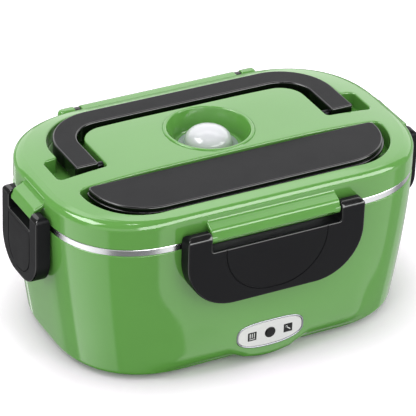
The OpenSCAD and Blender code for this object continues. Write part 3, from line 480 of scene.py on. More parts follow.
def revolve(shape, profile, x, y, steps=72, mark=0):
    # profile points are (radius, height); a radius of 0 closes at the axis
    turns = [2 * math.pi * i / steps for i in range(steps)]
    rings = []
    for r, z in profile:
        rings.append(addLoop(shape, [(x + r * math.cos(a), y + r * math.sin(a), z) for a in turns]))
    bridgeLoops(shape, rings, mark)
    return rings


def smoothFaces(mesh, angle):
    mesh.shade_smooth()
    mesh.set_sharp_from_angle(angle=math.radians(angle))


def finishShape(name, shape, finish, smooth=32):
    bm = bmesh.new()
    verts = [bm.verts.new([c / 1000 for c in p]) for p in shape["points"]]
    for face, mark in zip(shape["faces"], shape["marks"]):
        used = []
        for i in face:
            if not used or (verts[i].co - used[-1].co).length > 1e-7:
                used.append(verts[i])
        if len(used) > 2 and (used[0].co - used[-1].co).length < 1e-7:
            used.pop()
        if len(set(used)) == len(used) > 2:
            made = bm.faces.get(used) or bm.faces.new(used)
            made.material_index = mark
    bmesh.ops.remove_doubles(bm, verts=bm.verts, dist=0.000004)
    loose = [v for v in bm.verts if not v.link_faces]
    bmesh.ops.delete(bm, geom=loose, context="VERTS")
    bmesh.ops.dissolve_degenerate(bm, edges=bm.edges, dist=0.000002)
    bmesh.ops.recalc_face_normals(bm, faces=bm.faces)
    mesh = bpy.data.meshes.new(name)
    bm.to_mesh(mesh)
    openEdges = sum(1 for e in bm.edges if len(e.link_faces) != 2)
    bm.free()
    for item in [finish] if isinstance(finish, str) else finish:
        mesh.materials.append(materials[item])
    smoothFaces(mesh, smooth)
    print(name, "faces", len(mesh.polygons), "open edges", openEdges)
    return addObject(name, mesh)


def weightNormals(piece):
    modifier = piece.modifiers.new("weightNormals", "WEIGHTED_NORMAL")
    modifier.keep_sharp = True
    modifier.weight = 60


def settle(piece, body, slot, *replaced):
    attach(piece, body)
    if replaced:
        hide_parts(*replaced)


def finishPiece(name, shape, finish, body, slot, *replaced, smooth=32, weighted=True):
    piece = finishShape(name, shape, finish, smooth)
    if weighted:
        weightNormals(piece)
    settle(piece, body, slot, *replaced)


def applyModifiers(piece):
    bpy.context.view_layer.update()
    result = bpy.data.meshes.new_from_object(piece.evaluated_get(bpy.context.evaluated_depsgraph_get()))
    piece.modifiers.clear()
    old = piece.data
    piece.data = result
    bpy.data.meshes.remove(old)
    result.name = piece.name


def cutAway(piece, cutters):
    # cuts closed shapes out of a piece
    for cutter in cutters:
        modifier = piece.modifiers.new("cut", "BOOLEAN")
        modifier.operation = "DIFFERENCE"
        modifier.solver = "EXACT"
        modifier.object = cutter
    applyModifiers(piece)
    for cutter in cutters:
        bpy.data.objects.remove(cutter)


# Body shell, with the boss that carries the front panel; levels are its rings' heights: from, to and step

bodySet = {
    "length": 220.4, "depth": 131.8, "taperLength": 16.2, "taperDepth": 5.2, "swell": 1.5, "corner": 54.4,
    "foot": 2.4, "footEdge": 3.0, "top": 82.9, "topEdge": 0.5, "wall": 2.4,
    "levels": ((5.7, 9, 0.35), (9.4, 49, 0.9), (51, 81, 4.2)), "smooth": 40,
}
bossSet = {
    "face": 71.2, "z": 18.9, "half": 22.4, "up": 9.9, "down": 11.5, "top": 60,
    "slope": 0.313, "side": 0.115, "ease": 2.5, "widthBlend": 4.0,
    "steep": 1.7, "below": 7.2, "depth": 11, "lean": 2.2, "fall": 14.0, "narrowBlend": 1.2,
    "fadeFrom": 55, "fadeTo": 77,
}
panelSet = {
    "half": 20.9, "rise": 8.5, "squareAbove": 3.4, "squareBelow": 2.3, "steps": 96, "pocket": 2.2,
    "fit": 0.05, "rim": 1.0, "rimBack": 2.0, "rimLow": -0.1, "rimOut": 0.3, "rimSpread": (0.4, 0.35),
    "faceBack": 2.1, "faceLow": 0.1, "faceSpread": 0.5, "faceRise": 0.22,
}


def panelPath(inset):
    # outline of the front panel, squarer above than below
    def outline(grow):
        half = panelSet["half"] - inset + grow
        rise = panelSet["rise"] - inset + grow
        points = []
        for i in range(panelSet["steps"]):
            angle = 2 * math.pi * i / panelSet["steps"]
            c = math.cos(angle)
            s = math.sin(angle)
            power = 2 / panelSet["squareAbove" if s > 0 else "squareBelow"]
            points.append((math.copysign(half * abs(c) ** power, c),
                           math.copysign(rise * abs(s) ** power, s)))
        return points

    return outline


def frontPlace(u, v, w):
    # on the boss, w running inwards from its face
    return (u, w - bossSet["face"], bossSet["z"] + v)


def mouthPoints(inset):
    # the body's top outline, which the container, the lid and the seal follow
    return squirclePoints(bodySet["length"], bodySet["depth"], bodySet["corner"], inset)


def bodyRing(z, inset):
    share = ((bodySet["top"] - z) / (bodySet["top"] - bodySet["foot"])) ** bodySet["swell"]
    points = squirclePoints(bodySet["length"] - share * bodySet["taperLength"],
                            bodySet["depth"] - share * bodySet["taperDepth"], bodySet["corner"], inset,
                            steps=26, along=92)
    return [(x, y, z) for x, y in points]


def softStep(height, width):
    # height where it is above nought, eased into nought over the given width
    overlap = max(width - abs(height), 0)
    return max(height, 0) + overlap * overlap / (4 * width)


def bossOut(x, z, wall):
    # how far the boss stands ahead of a wall at x and z: a long slope above and beside the panel, which ends
    # behind the latch, and a steep side with a rounded edge at the foot
    up = z - bossSet["z"]
    above = up > 0
    power = panelSet["squareAbove" if above else "squareBelow"]
    rise = bossSet["up" if above else "down"]
    level = max(1.0, (abs(x / bossSet["half"]) ** power + abs(up / rise) ** power) ** (1 / power))
    away = math.hypot(x, up)
    growth = away * (1 - 1 / level)
    stand = bossSet["face"] - wall
    upright = (up / away) ** 2 if above else 0.0
    slope = bossSet["side"] + (bossSet["slope"] - bossSet["side"]) * upright
    wide = softStep(stand - slope * growth * growth / (growth + bossSet["ease"]), bossSet["widthBlend"])
    if above:
        return wide
    steep = bossSet["steep"] * growth
    share = growth / bossSet["below"]
    turned = 1 + 3 * (share - 1) if share > 1 else 1 - math.sqrt(1 - share * share)
    lean = min(1.0, bossSet["lean"] * (up / away) ** 2)
    narrow = softStep(stand - steep - (bossSet["depth"] * turned - steep) * lean, bossSet["narrowBlend"])
    return wide + (narrow - wide) * min(1.0, -up / bossSet["fall"]) ** 3


def withBoss(ring):
    wall = -min(y for x, y, z in ring)
    width = bossSet["fadeTo"] - bossSet["fadeFrom"]
    moved = []
    for x, y, z in ring:
        if y < 0 and z < bossSet["top"]:
            fade = min(1.0, max(0.0, (bossSet["fadeTo"] - abs(x)) / width))
            y -= bossOut(x, z, wall) * fade * fade * (3 - 2 * fade)
        moved.append((x, y, z))
    return moved


def makeBodyShell():
    shape = newShape()
    foot, edge, top, topEdge, wall = (bodySet[k] for k in ("foot", "footEdge", "top", "topEdge", "wall"))
    rings = [(foot + edge * aside, edge * left) for aside, left in quarterTurn(8)]
    rings += [(z, 0) for low, high, step in bodySet["levels"] for z in np.arange(low, high, step)]
    rings += [(top - topEdge * left, topEdge * aside) for aside, left in quarterTurn(4)]
    inner = [(top, wall), (foot + edge + wall, wall), (foot + wall, edge + wall), (foot, edge + wall)]
    loops = [addLoop(shape, withBoss(bodyRing(z, inset))) for z, inset in rings]
    loops += [addLoop(shape, bodyRing(z, inset)) for z, inset in inner]
    bridgeLoops(shape, loops + [loops[0]])
    return shape


# the slots that the latches snap into, and the power inlet's opening
catchSet = {
    "low": 77, "high": 80, "corner": 1, "cut": 5,
    "frontHalf": 34, "frontDepth": 64.46, "sideHalf": 12.3, "sideDepth": 108.36,
}
inletSet = {"half": 9.4, "low": 8.4, "high": 20.6, "corner": 1, "from": 55, "to": 75}


def makeCutter(name, path, low, high, place):
    shape = newShape()
    roundedSlab(shape, path, low, high, (0.0, 0.0), place, steps=1)
    return finishShape(name, shape, "polishedGreenAbs")


def openingPath(half, opening):
    return roundedPath(boxCorners(-half, half, opening["low"], opening["high"], opening["corner"]), 6, 400)


def makeBody():
    piece = finishShape("bodyMoulding", makeBodyShell(), "polishedGreenAbs", bodySet["smooth"])
    cutters = [
        makeCutter("panelPocket", panelPath(0), -3, panelSet["pocket"], frontPlace),
        makeCutter("frontCatch", openingPath(catchSet["frontHalf"], catchSet),
                   -catchSet["frontDepth"] - catchSet["cut"], -catchSet["frontDepth"], alongY)]
    for side in (-1, 1):
        cutters.append(makeCutter(
            "sideCatch", openingPath(catchSet["sideHalf"], catchSet), catchSet["sideDepth"],
            catchSet["sideDepth"] + catchSet["cut"], lambda u, v, w: (side * w, u, v)))
    cutters.append(makeCutter("inletOpening", openingPath(inletSet["half"], inletSet),
                              inletSet["from"], inletSet["to"], alongY))
    cutAway(piece, cutters)
    smoothFaces(piece.data, 32)
    weightNormals(piece)
    settle(piece, "box_body", "green_shell", "body_shell")


makeBody()
print("body made")

# Hinge lugs of the body, and black bushes beside the lid's knuckle

hingeSet = {
    "y": 70.0, "z": 97.2, "knuckle": 3.8, "turn": 3.78,  # turned just short of half the width
    "bushFrom": 49.6, "bushTo": 53.0, "bush": 3.2, "bushEdges": (0.5, 0.5),
    "lugFrom": 53.2, "lugTo": 62.8, "lugEdges": (0.7, 2.6),
    "lugFoot": (64.1, 63, 0.5), "lugKnee": (75.4, 2.5), "lugNeck": (82.2, 0.6), "lugHead": (64.3, 79, 0.5),
    "flange": 49.4, "flangeRoot": 63.0, "flangeLow": (94.3, 0.2), "flangeBend": (67.5, 2),
    "flangeTop": (66.2, 0.3, 1.0), "flangeHead": (1.8, 0.2), "flangeEdges": (0.7, 0.7),
}


def makeHingeLugs():
    shape = newShape()
    y, z, r, turn = (hingeSet[k] for k in ("y", "z", "knuckle", "turn"))
    corners = [
        hingeSet["lugFoot"], (y + r, *hingeSet["lugKnee"]), (y + r, z + r, turn), (y - r, z + r, turn),
        (y - r, *hingeSet["lugNeck"]), hingeSet["lugHead"]]
    pairedSlabs(shape, roundedPath(corners, 10, 8), hingeSet["lugFrom"], hingeSet["lugTo"],
                hingeSet["lugEdges"], alongX)
    finishPiece("hingeLugs", shape, "polishedGreenAbs", "box_body", "green_shell")


def makeHingeBushes():
    shape = newShape()
    pairedSlabs(shape, circlePath(hingeSet["y"], hingeSet["z"], hingeSet["bush"]), hingeSet["bushFrom"],
                hingeSet["bushTo"], hingeSet["bushEdges"], alongX)
    finishPiece("hingeBushRings", shape, "mouldedBlackNylon", "box_body", "black_trim", "hinge_bushes")


makeHingeLugs()
makeHingeBushes()

# Steel container: a rolled flange on the body, a bend at the mouth, tapering walls and a raised floor

steelSet = {
    "low": 82.95, "top": 86.8, "inset": 0.5, "sheet": 0.8, "flange": 8.0, "flangeIn": 1.2,
    "roll": 0.7, "bend": 1.6, "taper": 6.0, "floor": 26.0, "floorEdge": 6.0,
    "rise": 0.35, "riseFrom": 5, "riseTo": 7,
}


def makeContainer():
    shape = newShape()
    low, top, inset, sheet = (steelSet[k] for k in ("low", "top", "inset", "sheet"))
    roll, bend, edge = (steelSet[k] for k in ("roll", "bend", "floorEdge"))
    mouth = inset + steelSet["flange"]
    floor = steelSet["floor"] + sheet
    height = top - steelSet["floor"]

    def ring(z, grow):
        return addLevel(shape, mouthPoints(grow), z)

    def wallInset(z):
        return mouth + (top - z) / height * steelSet["taper"]

    loops = [ring(low, inset + sheet), ring(low, inset)]
    loops += [ring(top - roll * left, inset + roll * aside) for aside, left in quarterTurn(5)]
    loops += [ring(top - bend * aside, mouth - bend * left + sheet) for aside, left in quarterTurn(5)]
    for aside, left in quarterTurn(8):
        z = floor + edge * left
        loops.append(ring(z, wallInset(z) + sheet + edge * aside))
    for further in (steelSet["riseFrom"], steelSet["riseTo"]):
        loops.append(ring(floor + steelSet["rise"], wallInset(floor) + sheet + edge + further))
    under = []
    for aside, left in reversed(quarterTurn(8)):
        z = steelSet["floor"] + edge * left
        under.append(ring(z, wallInset(z) + edge * aside))
    under += [ring(top - bend, mouth), ring(top - sheet, mouth - steelSet["flangeIn"]),
              ring(top - sheet, inset + sheet)]
    bridgeLoops(shape, loops)
    addFace(shape, loops[-1])
    bridgeLoops(shape, under + [loops[0]])
    addFace(shape, under[0][::-1])
    finishPiece("steelContainer", shape, "brushedStainless", "box_body", "stainless_steel", "steel_container",
                smooth=50)


makeContainer()
print("container made")

# Lid: a crowned top plate with a channel for the handle, a recess for the case and a well for the vent

lidSet = {
    "z": 87.0, "lowEdge": 0.5, "lip": 0.2, "levels": (90.0, 94.0, 97.5), "shoulderTurn": 72, "drop": 0.12,
    "plateZ": 102.5, "crown": 4.5, "plateLength": 211.0, "plateDepth": 127.8, "rim": 0.8, "rimPull": 0.3,
    "wall": 2.2, "cap": 90.3, "fillet": 1.1, "floorFillet": 0.8,
}
channelHalf = [(68.4, -4.9, 2), (97.2, -4.9, 3), (97.2, 16.5, 3), (88.5, 16.5, 1.5), (88.5, 57, 33.8)]
channelInner = [(68.4, 35.9, 14)]
channelCorners = channelHalf + mirrored(channelHalf) + mirrored(channelInner) + channelInner
channelSet = {"corners": channelCorners, "floor": 94.7}
recessHalf = [(93, -57.2, 33.0), (93, -19.4, 3.8)]
recessSet = {"corners": recessHalf + mirrored(recessHalf), "floor": 93.3}
# foot and bend are points from the outside in; side and bend are measured from r, floorR and floor
wellSet = {
    "y": 8, "lip": 26.2, "foot": ((25.95, 106.85), (25.85, 107.0)),
    "bead": (24.6, 106.65), "beadSize": (1.2, 1.0),
    "r": 23.3, "side": ((-0.05, 106.1), (-0.35, 105.0)), "floorR": 20.0, "floor": 95.1,
    "bend": ((0.5, 1.6), (0.2, 0.7), (-0.35, 0.15), (-1.0, 0.0)),
    "seat": 9.0, "seatFloor": 93.7, "bore": 4.5, "steps": 96,
}
plateOutline = np.array(squirclePoints(
    lidSet["plateLength"], lidSet["plateDepth"], bodySet["corner"], steps=60))
plateTurns = np.arctan2(plateOutline[:, 1], plateOutline[:, 0])
plateReach = np.hypot(plateOutline[:, 0], plateOutline[:, 1])
plateOrder = np.argsort(plateTurns)


def plateHeight(x, y):
    # height of the crowned top plate
    reach = np.interp(math.atan2(y, x), plateTurns[plateOrder], plateReach[plateOrder], period=2 * math.pi)
    share = min(math.hypot(x, y) / reach, 1.0)
    return lidSet["plateZ"] + lidSet["crown"] * (1 - share ** 4)


def sinkRecess(shape, corners, floor):
    # fillet round the mouth, upright wall, fillet and floor of a recess in the top plate; gives its mouth
    path = roundedPath(corners, 16, 3.0)
    fillet, low = lidSet["fillet"], lidSet["floorFillet"]
    loops = []
    for aside, left in quarterTurn(5):
        mouth = path(fillet * left)
        loops.append(addLoop(shape, [(x, y, plateHeight(x, y) - fillet * aside) for x, y in mouth]))
    loops += [addLevel(shape, path(-low * aside), floor + low * left) for aside, left in quarterTurn(5)]
    bridgeLoops(shape, loops)
    fillRegion(shape, path(-low), [], lambda u, v: (u, v, floor))
    return path(fillet)


def sinkWell(shape):
    # raised bead, tapering wall, floor, seat and bore of the vent's well; gives the bead's outline
    x, y, steps, r, floorR, floor = 0, *(wellSet[k] for k in ("y", "steps", "r", "floorR", "floor"))
    outline = circlePoints(x, y, wellSet["lip"], steps)
    start = addLoop(shape, [(u, v, plateHeight(u, v)) for u, v in outline])
    beadR, beadZ = wellSet["bead"]
    wide, high = wellSet["beadSize"]
    profile = list(wellSet["foot"])
    profile += [(beadR + wide * math.cos(math.radians(t)), beadZ + high * math.sin(math.radians(t)))
                for t in range(15, 166, 15)]
    profile += [(r + out, z) for out, z in wellSet["side"]]
    profile += [(floorR + out, floor + up) for out, up in wellSet["bend"]]
    profile += [(wellSet["seat"], floor), (wellSet["seat"], wellSet["seatFloor"])]
    profile += [(wellSet["bore"], wellSet["seatFloor"]), (wellSet["bore"], lidSet["cap"])]
    bridgeLoops(shape, [start, revolve(shape, profile, x, y, steps)[0]])
    return outline


def makeLid():
    shape = newShape()
    insetX = (bodySet["length"] - lidSet["plateLength"]) / 2
    insetY = (bodySet["depth"] - lidSet["plateDepth"]) / 2
    top = lidSet["plateZ"] - lidSet["drop"]
    shoulder = lidSet["levels"][-1]
    wall, low, edge, lip = (lidSet[k] for k in ("wall", "z", "lowEdge", "lip"))

    def ring(z, share=0.0, inset=0.0):
        points = squirclePoints(bodySet["length"] - 2 * share * insetX, bodySet["depth"] - 2 * share * insetY,
                                bodySet["corner"], inset)
        return addLevel(shape, points, z)

    loops = [ring(lidSet["cap"], inset=wall), ring(low + lip, inset=wall), ring(low, inset=wall - lip)]
    loops += [ring(low + edge * aside, inset=edge * left) for aside, left in quarterTurn(4)]
    loops += [ring(z) for z in lidSet["levels"]]
    last = math.radians(lidSet["shoulderTurn"])
    for i in range(1, 13):
        angle = last * i / 12
        share = (1 - math.cos(angle)) / (1 - math.cos(last))
        loops.append(ring(shoulder + (top - shoulder) * math.sin(angle) / math.sin(last), share))
    for i in range(1, 6):
        share = i / 5
        inset = lidSet["rim"] * share * (1 - lidSet["rimPull"] + lidSet["rimPull"] * share)
        plateEdge = squirclePoints(lidSet["plateLength"], lidSet["plateDepth"], bodySet["corner"], inset)
        eased = 1 - (1 - share) ** 2
        loops.append(addLoop(shape, [(x, y, top + (plateHeight(x, y) - top) * eased) for x, y in plateEdge]))
    bridgeLoops(shape, loops)
    holes = [sinkRecess(shape, recess["corners"], recess["floor"]) for recess in (channelSet, recessSet)]
    holes.append(sinkWell(shape))
    fillRegion(shape, plateEdge, holes, lambda u, v: (u, v, plateHeight(u, v)), spacing=3.2)
    bore = circlePoints(0, wellSet["y"], wellSet["bore"], wellSet["steps"])
    fillRegion(shape, mouthPoints(wall), [bore], lambda u, v: (u, v, lidSet["cap"]))
    finishPiece("lidMoulding", shape, "polishedGreenAbs", "lid", "green_shell", "lid_shell", smooth=28)


makeLid()
print("lid made")

# Lips of the lid that carry the latches, and the hinge flange

lipSet = {
    "frontY": 70.3, "sideX": 114.6, "z": 89.0, "frontHalf": 39.3, "sideHalf": 13.4, "edges": (0.9, 0.9),
    "outline": [(6.6, 5.8, 0.1), (6.6, 10.6, 0.1), (4.43, 10.6, 0.1), (4.43, 7.7, 2.0), (-1.6, 5.05, 2.4),
                (-3.5, -0.9, 0.6), (-1.3, -0.9, 0.6), (-1.1, 2.4, 0.6)],
    "boss": 3.1, "bossFrom": -3.4, "bossTo": 0.05, "bossEdges": (0.35, 0.35),
    "stud": 2.2, "studFrom": -1, "studTo": 6, "studEdges": (0.2, 0.2),
}


def latchPlace(which):
    # moves the latch's own frame, with its pivot at the origin and -Y outwards, to the front, left or right
    if which == "front":
        return lambda x, y, z: (x, y - lipSet["frontY"], z + lipSet["z"])
    side = -1 if which == "left" else 1
    return lambda x, y, z: (side * (lipSet["sideX"] - y), side * x, z + lipSet["z"])


def addLip(shape, which):
    half = lipSet["frontHalf" if which == "front" else "sideHalf"]
    latchFrame = latchPlace(which)

    def place(u, v, w):
        return latchFrame(w, u, v)

    roundedSlab(shape, roundedPath(lipSet["outline"], 10, 20), -half, half, lipSet["edges"], place)
    for side in (-1, 1):
        for kind, steps in (("boss", 48), ("stud", 32)):
            low, high = sorted((side * (half + lipSet[kind + "From"]), side * (half + lipSet[kind + "To"])))
            roundedSlab(shape, circlePath(0, 0, lipSet[kind], steps), low, high, lipSet[kind + "Edges"],
                        place)


def makeLips():
    shape = newShape()
    for which in ("front", "left", "right"):
        addLip(shape, which)
    y, z, r, turn, root = (hingeSet[k] for k in ("y", "z", "knuckle", "turn", "flangeRoot"))
    bendY, bendR = hingeSet["flangeBend"]
    topY, down, topR = hingeSet["flangeTop"]
    up, headR = hingeSet["flangeHead"]
    corners = [(root, *hingeSet["flangeLow"]), (bendY, z - r, bendR), (y + r, z - r, turn),
               (y + r, z + r, turn), (topY, z + r - down, topR), (root, z + r + up, headR)]
    roundedSlab(shape, roundedPath(corners, 10, 20), -hingeSet["flange"], hingeSet["flange"],
                hingeSet["flangeEdges"], alongX)
    finishPiece("lidLips", shape, "polishedGreenAbs", "lid", "green_shell", smooth=35)


makeLips()
print("lips made")

# Latches, in their own frame; earBack is the outline of the ears' backs as (height, depth), and rows are the
# heights of mesh points that carry the ears' bend

latchSet = {
    "face": -4.5, "back": 3.9, "low": -42.0, "window": -7.0, "top": 4.0, "edge": 0.7,
    "outerCorner": 3.6, "innerCorner": 1.0, "windowCorner": 1.2,
    "bendFrom": 1.2, "bendR": 1.3, "bendTurns": (0, 8, 16, 24, 32, 40), "tipFrom": 3.0, "tipLean": 60,
    "earBack": ((2.4, 3.2), (3.5, 2.2), (4.0, 1.2)), "rows": (-5, -3, -1.6, -0.4, 0.6, 1.1), "spacing": 3.4,
    "skin": 2.6, "wall": 2.2, "beadLow": -11.6, "beadHigh": -9.4, "beadOut": 4.05, "beadCorner": 0.5,
    "grooveDepth": 0.45, "grooveHalf": 0.45, "grooveBed": 0.15,
}
# the groove round the thumb field runs off the top of the front latch and is closed on the others
latchSizes = {
    "front": {"half": 54.0, "ear": 14.4, "r": 29.0, "groove": 31.0, "grooveLow": -37.8, "grooveHigh": 60.0,
              "grooveR": 28.4, "roundBelow": 60, "bead": 33.4},
    "side": {"half": 22.3, "ear": 8.6, "r": 18.0, "groove": 13.7, "grooveLow": -37.8, "grooveHigh": -9.0,
             "grooveR": 12.7, "roundBelow": -20, "bead": 11.7},
}


def grooveDepth(x, z, size):
    # how deep the thin line round the thumb field is at x and z
    low, high = size["grooveLow"], size["grooveHigh"]
    radius = size["grooveR"] if z < size["roundBelow"] else 0.6
    outX = abs(x) - size["groove"] + radius
    outZ = abs(z - (high + low) / 2) - (high - low) / 2 + radius
    distance = math.hypot(max(outX, 0), max(outZ, 0)) + min(max(outX, outZ), 0) - radius
    flank = latchSet["grooveHalf"] - latchSet["grooveBed"]
    return latchSet["grooveDepth"] * min(1, max(0, (latchSet["grooveHalf"] - abs(distance)) / flank))


def grooveLines(size, openAbove):
    # the flanks and bed of the groove as lines in the face's mesh
    g, window = size["groove"], latchSet["window"]
    wide, bed = latchSet["grooveHalf"], latchSet["grooveBed"]
    lines = []
    for offset in (-wide, -bed, bed, wide):
        outer = g + offset
        bend = size["grooveR"] + offset
        end = window - latchSet["edge"] if openAbove else size["grooveHigh"] + offset
        right = arcPoints(outer - bend, size["grooveLow"] - offset + bend, bend, 0, -90, 26)
        left = [(-x, z) for x, z in reversed(right)]
        line = [(outer, end)] + right + left + [(-outer, end)]
        lines.append(line if openAbove else line + [(outer, end)])
    return lines


def makeLatch(name, which, node):
    front = which == "front"
    size = latchSizes["front" if front else "side"]
    half, g = size["half"], size["groove"]
    face, back, low, window, top, edge = (
        latchSet[k] for k in ("face", "back", "low", "window", "top", "edge"))
    inner = half - size["ear"]
    marks = [g + side * off for side in (-1, 1) for off in (latchSet["grooveHalf"], latchSet["grooveBed"])]
    right = [(half, low, size["r"]), (half, top, latchSet["outerCorner"]),
             (inner, top, latchSet["innerCorner"]), (inner, window, latchSet["windowCorner"])]
    if front:
        right += [(x, window, None) for x in sorted(marks, reverse=True)]
    left = mirrored(right)
    path = roundedPath([left[-1]] + right + left[:-1], 14, 2.2)

    # the ear bends back and leans further at its tip, which clears the lid's wall as the latch swings open
    start, radius, tip = (latchSet[k] for k in ("bendFrom", "bendR", "tipFrom"))
    turns = [math.radians(a) for a in latchSet["bendTurns"]]
    earFront = [(start + radius * math.sin(a), face + radius * (1 - math.cos(a))) for a in turns]
    heights = [z for z, y in earFront]
    for height, lean in ((tip, turns[-1]), (top + 1, math.radians(latchSet["tipLean"]))):
        earFront.append((height, earFront[-1][1] + (height - earFront[-1][0]) * math.tan(lean)))
    earFront = np.array([(-60, face)] + earFront).T
    earBack = np.array([(-60, back), (0, back), *latchSet["earBack"]]).T
    latchFrame = latchPlace(which)

    def put(x, y, z, grooved=False):
        if grooved:
            y += grooveDepth(x, z, size)
        near, far = float(np.interp(z, *earFront)), float(np.interp(z, *earBack))
        return latchFrame(x, near + (y - face) / (back - face) * (far - near), z)

    shape = newShape()
    outline = path(0)
    loops = [addLoop(shape, [put(x, back, z) for x, z in outline])]
    for share in (0.66, 0.33):
        depth = face + edge + (back - face - edge) * share
        loops.append(addLoop(shape, [put(x, depth, z) for x, z in outline]))
    for aside, left in quarterTurn(4):
        rounded = path(-edge * aside)
        loops.append(addLoop(shape, [put(x, face + edge * left, z, left < 1) for x, z in rounded]))
    bridgeLoops(shape, loops[:4], 0)
    bridgeLoops(shape, loops[3:], 1)
    columns = np.arange(inner + 1.6, half - 1.3, 1.1)
    levels = [*latchSet["rows"], *heights, 2.5, tip]
    rows = [(x, z) for z in levels for column in columns for x in (column, -column)]
    fillRegion(shape, path(-edge), [], lambda u, v: put(u, face, v, True), spacing=latchSet["spacing"],
               extra=rows, lines=grooveLines(size, front), markOf=lambda u, v: 1 if v > start else 0)

    # the hollow back, and the bead that snaps into the body's slot
    wall, deep, r = latchSet["wall"], face + latchSet["skin"], size["r"]
    pocket = [(-half + wall, low + wall, r - wall), (half - wall, low + wall, r - wall),
              (half - wall, window - wall, 1), (-half + wall, window - wall, 1)]
    hollow = roundedPath(pocket, 14, 2.2)(0)
    fillRegion(shape, outline, [hollow], lambda u, v: put(u, back, v), markOf=lambda u, v: 1)
    floorLoop = addLoop(shape, [put(x, deep, z) for x, z in hollow])
    bridgeLoops(shape, [addLoop(shape, [put(x, back, z) for x, z in hollow]), floorLoop], 1)
    addFace(shape, floorLoop, 0)
    bead = boxCorners(deep - 0.5, latchSet["beadOut"], latchSet["beadLow"], latchSet["beadHigh"],
                      latchSet["beadCorner"])
    roundedSlab(shape, roundedPath(bead, 4, 20), -size["bead"], size["bead"], (0.4, 0.4),
                lambda u, v, w: latchFrame(w, u, v), mark=1)
    finishPiece(name, shape, blackFinishes, "latch_" + which, "black_gloss", node, smooth=24)


for which in ("front", "left", "right"):
    makeLatch(which + "Clip", which, which + "_latch")
print("latches made")

# Carry handle

handleSet = {
    "outer": 86.2, "outerR": 31.5, "rear": 52.5, "inner": 72.7, "innerR": 18.0, "gripFront": 39.0,
    "front": -2.6, "end": 1.1, "low": 98.7, "top": 107.7, "edges": (0.9, 0.9),
}


def makeHandle():
    shape = newShape()
    outer, inner, front, end = (handleSet[k] for k in ("outer", "inner", "front", "end"))
    outside = [(outer, front, end), (outer, handleSet["rear"], handleSet["outerR"])]
    inside = [(-inner, front, end), (-inner, handleSet["gripFront"], handleSet["innerR"])]
    path = roundedPath(outside + mirrored(outside) + inside + mirrored(inside), 20, 4)
    roundedSlab(shape, path, handleSet["low"], handleSet["top"], handleSet["edges"], mark=1, caps=(1, 0))
    finishPiece("carryBail", shape, blackFinishes, "handle", "black_gloss", "carry_handle")


makeHandle()

# Cutlery case: a cover with a skirt on a tray with a rim

caseSet = {
    "half": 88.3, "front": -55.2, "rear": -20.2, "frontR": 31.0, "rearR": 3.4, "low": 93.5, "seam": 103.1,
    "top": 105.6, "coverEdges": (0.25, 0.9), "skirt": 2.0, "skirtIn": 0.3, "skirtWall": 1,
    "footEdge": 1.5, "inset": 0.4, "wall": 1.4, "floorEdge": 1, "gap": 0.02,
    "rim": 0.9, "rimRear": -0.02, "rimLow": 101.6, "rimChamfer": 0.3, "rimEdge": 0.5,
}


def casePath(grow, rearGrow=None):
    # the case's outline grown by grow, at the rear by rearGrow
    rearGrow = grow if rearGrow is None else rearGrow
    half = caseSet["half"] + grow
    right = [(half, caseSet["front"] - grow, caseSet["frontR"] + grow),
             (half, caseSet["rear"] + rearGrow, caseSet["rearR"] + rearGrow)]
    return roundedPath(right + mirrored(right), 20, 400)


def makeCover():
    shape = newShape()
    seam = caseSet["seam"]
    low = seam - caseSet["skirt"]
    rings = roundedSlab(shape, casePath(0), seam, caseSet["top"], caseSet["coverEdges"], steps=5, mark=1,
                        caps=(None, 0))
    skirt = casePath(-caseSet["inset"] - caseSet["wall"] - caseSet["skirtIn"])
    inner = -caseSet["skirtWall"]
    levels = ((0, seam), (0, low), (inner, low), (inner, seam))
    loops = [addLevel(shape, skirt(grow), z) for grow, z in levels]
    bridgeLoops(shape, [rings[0]] + loops, 1)
    addFace(shape, loops[-1][::-1], 1)
    finishPiece("caseCover", shape, blackFinishes, "case_cover", "black_gloss", "cutlery_cover")


def makeTray():
    shape = newShape()
    side = casePath(-caseSet["inset"])
    rim = casePath(caseSet["rim"], caseSet["rimRear"])
    low, rimLow, chamfer, wall = (caseSet[k] for k in ("low", "rimLow", "rimChamfer", "wall"))
    foot, rimEdge, floorEdge = (caseSet[k] for k in ("footEdge", "rimEdge", "floorEdge"))
    top = caseSet["seam"] - caseSet["gap"]
    loops = [(side, -foot * left, low + foot * aside) for aside, left in quarterTurn(4)]
    loops += [(side, 0, rimLow), (rim, -chamfer, rimLow), (rim, 0, rimLow + chamfer)]
    loops += [(rim, -rimEdge * aside, top - rimEdge * left) for aside, left in quarterTurn(4)]
    loops += [(side, -wall, top), (side, -wall, low + wall + floorEdge)]
    loops.append((side, -wall - floorEdge, low + wall))
    rings = [addLevel(shape, path(grow), z) for path, grow, z in loops]
    bridgeLoops(shape, rings, 1)
    addFace(shape, rings[0][::-1], 0)
    addFace(shape, rings[-1], 0)
    finishPiece("caseTray", shape, blackFinishes, "cutlery_case", "black_gloss", "cutlery_tray")


makeCover()
makeTray()
print("handle and case made")

# Vent plug: a stem, a flange and a dome; flangeEdge and neck are measured from flange, dome and base

ventSet = {
    "y": 8.0, "stem": 4.2, "stemLow": 88.2, "stemEdge": 0.5, "base": 95.2, "flange": 17.3,
    "flangeEdge": ((-0.6, 0.0), (-0.15, 0.25), (0.0, 0.8), (-0.2, 1.35), (-0.8, 1.6)),
    "neck": ((1.9, 1.75), (1.0, 2.0), (0.35, 2.5), (0.05, 3.2)), "dome": 13.2, "spring": 99.6, "apex": 107.6,
}


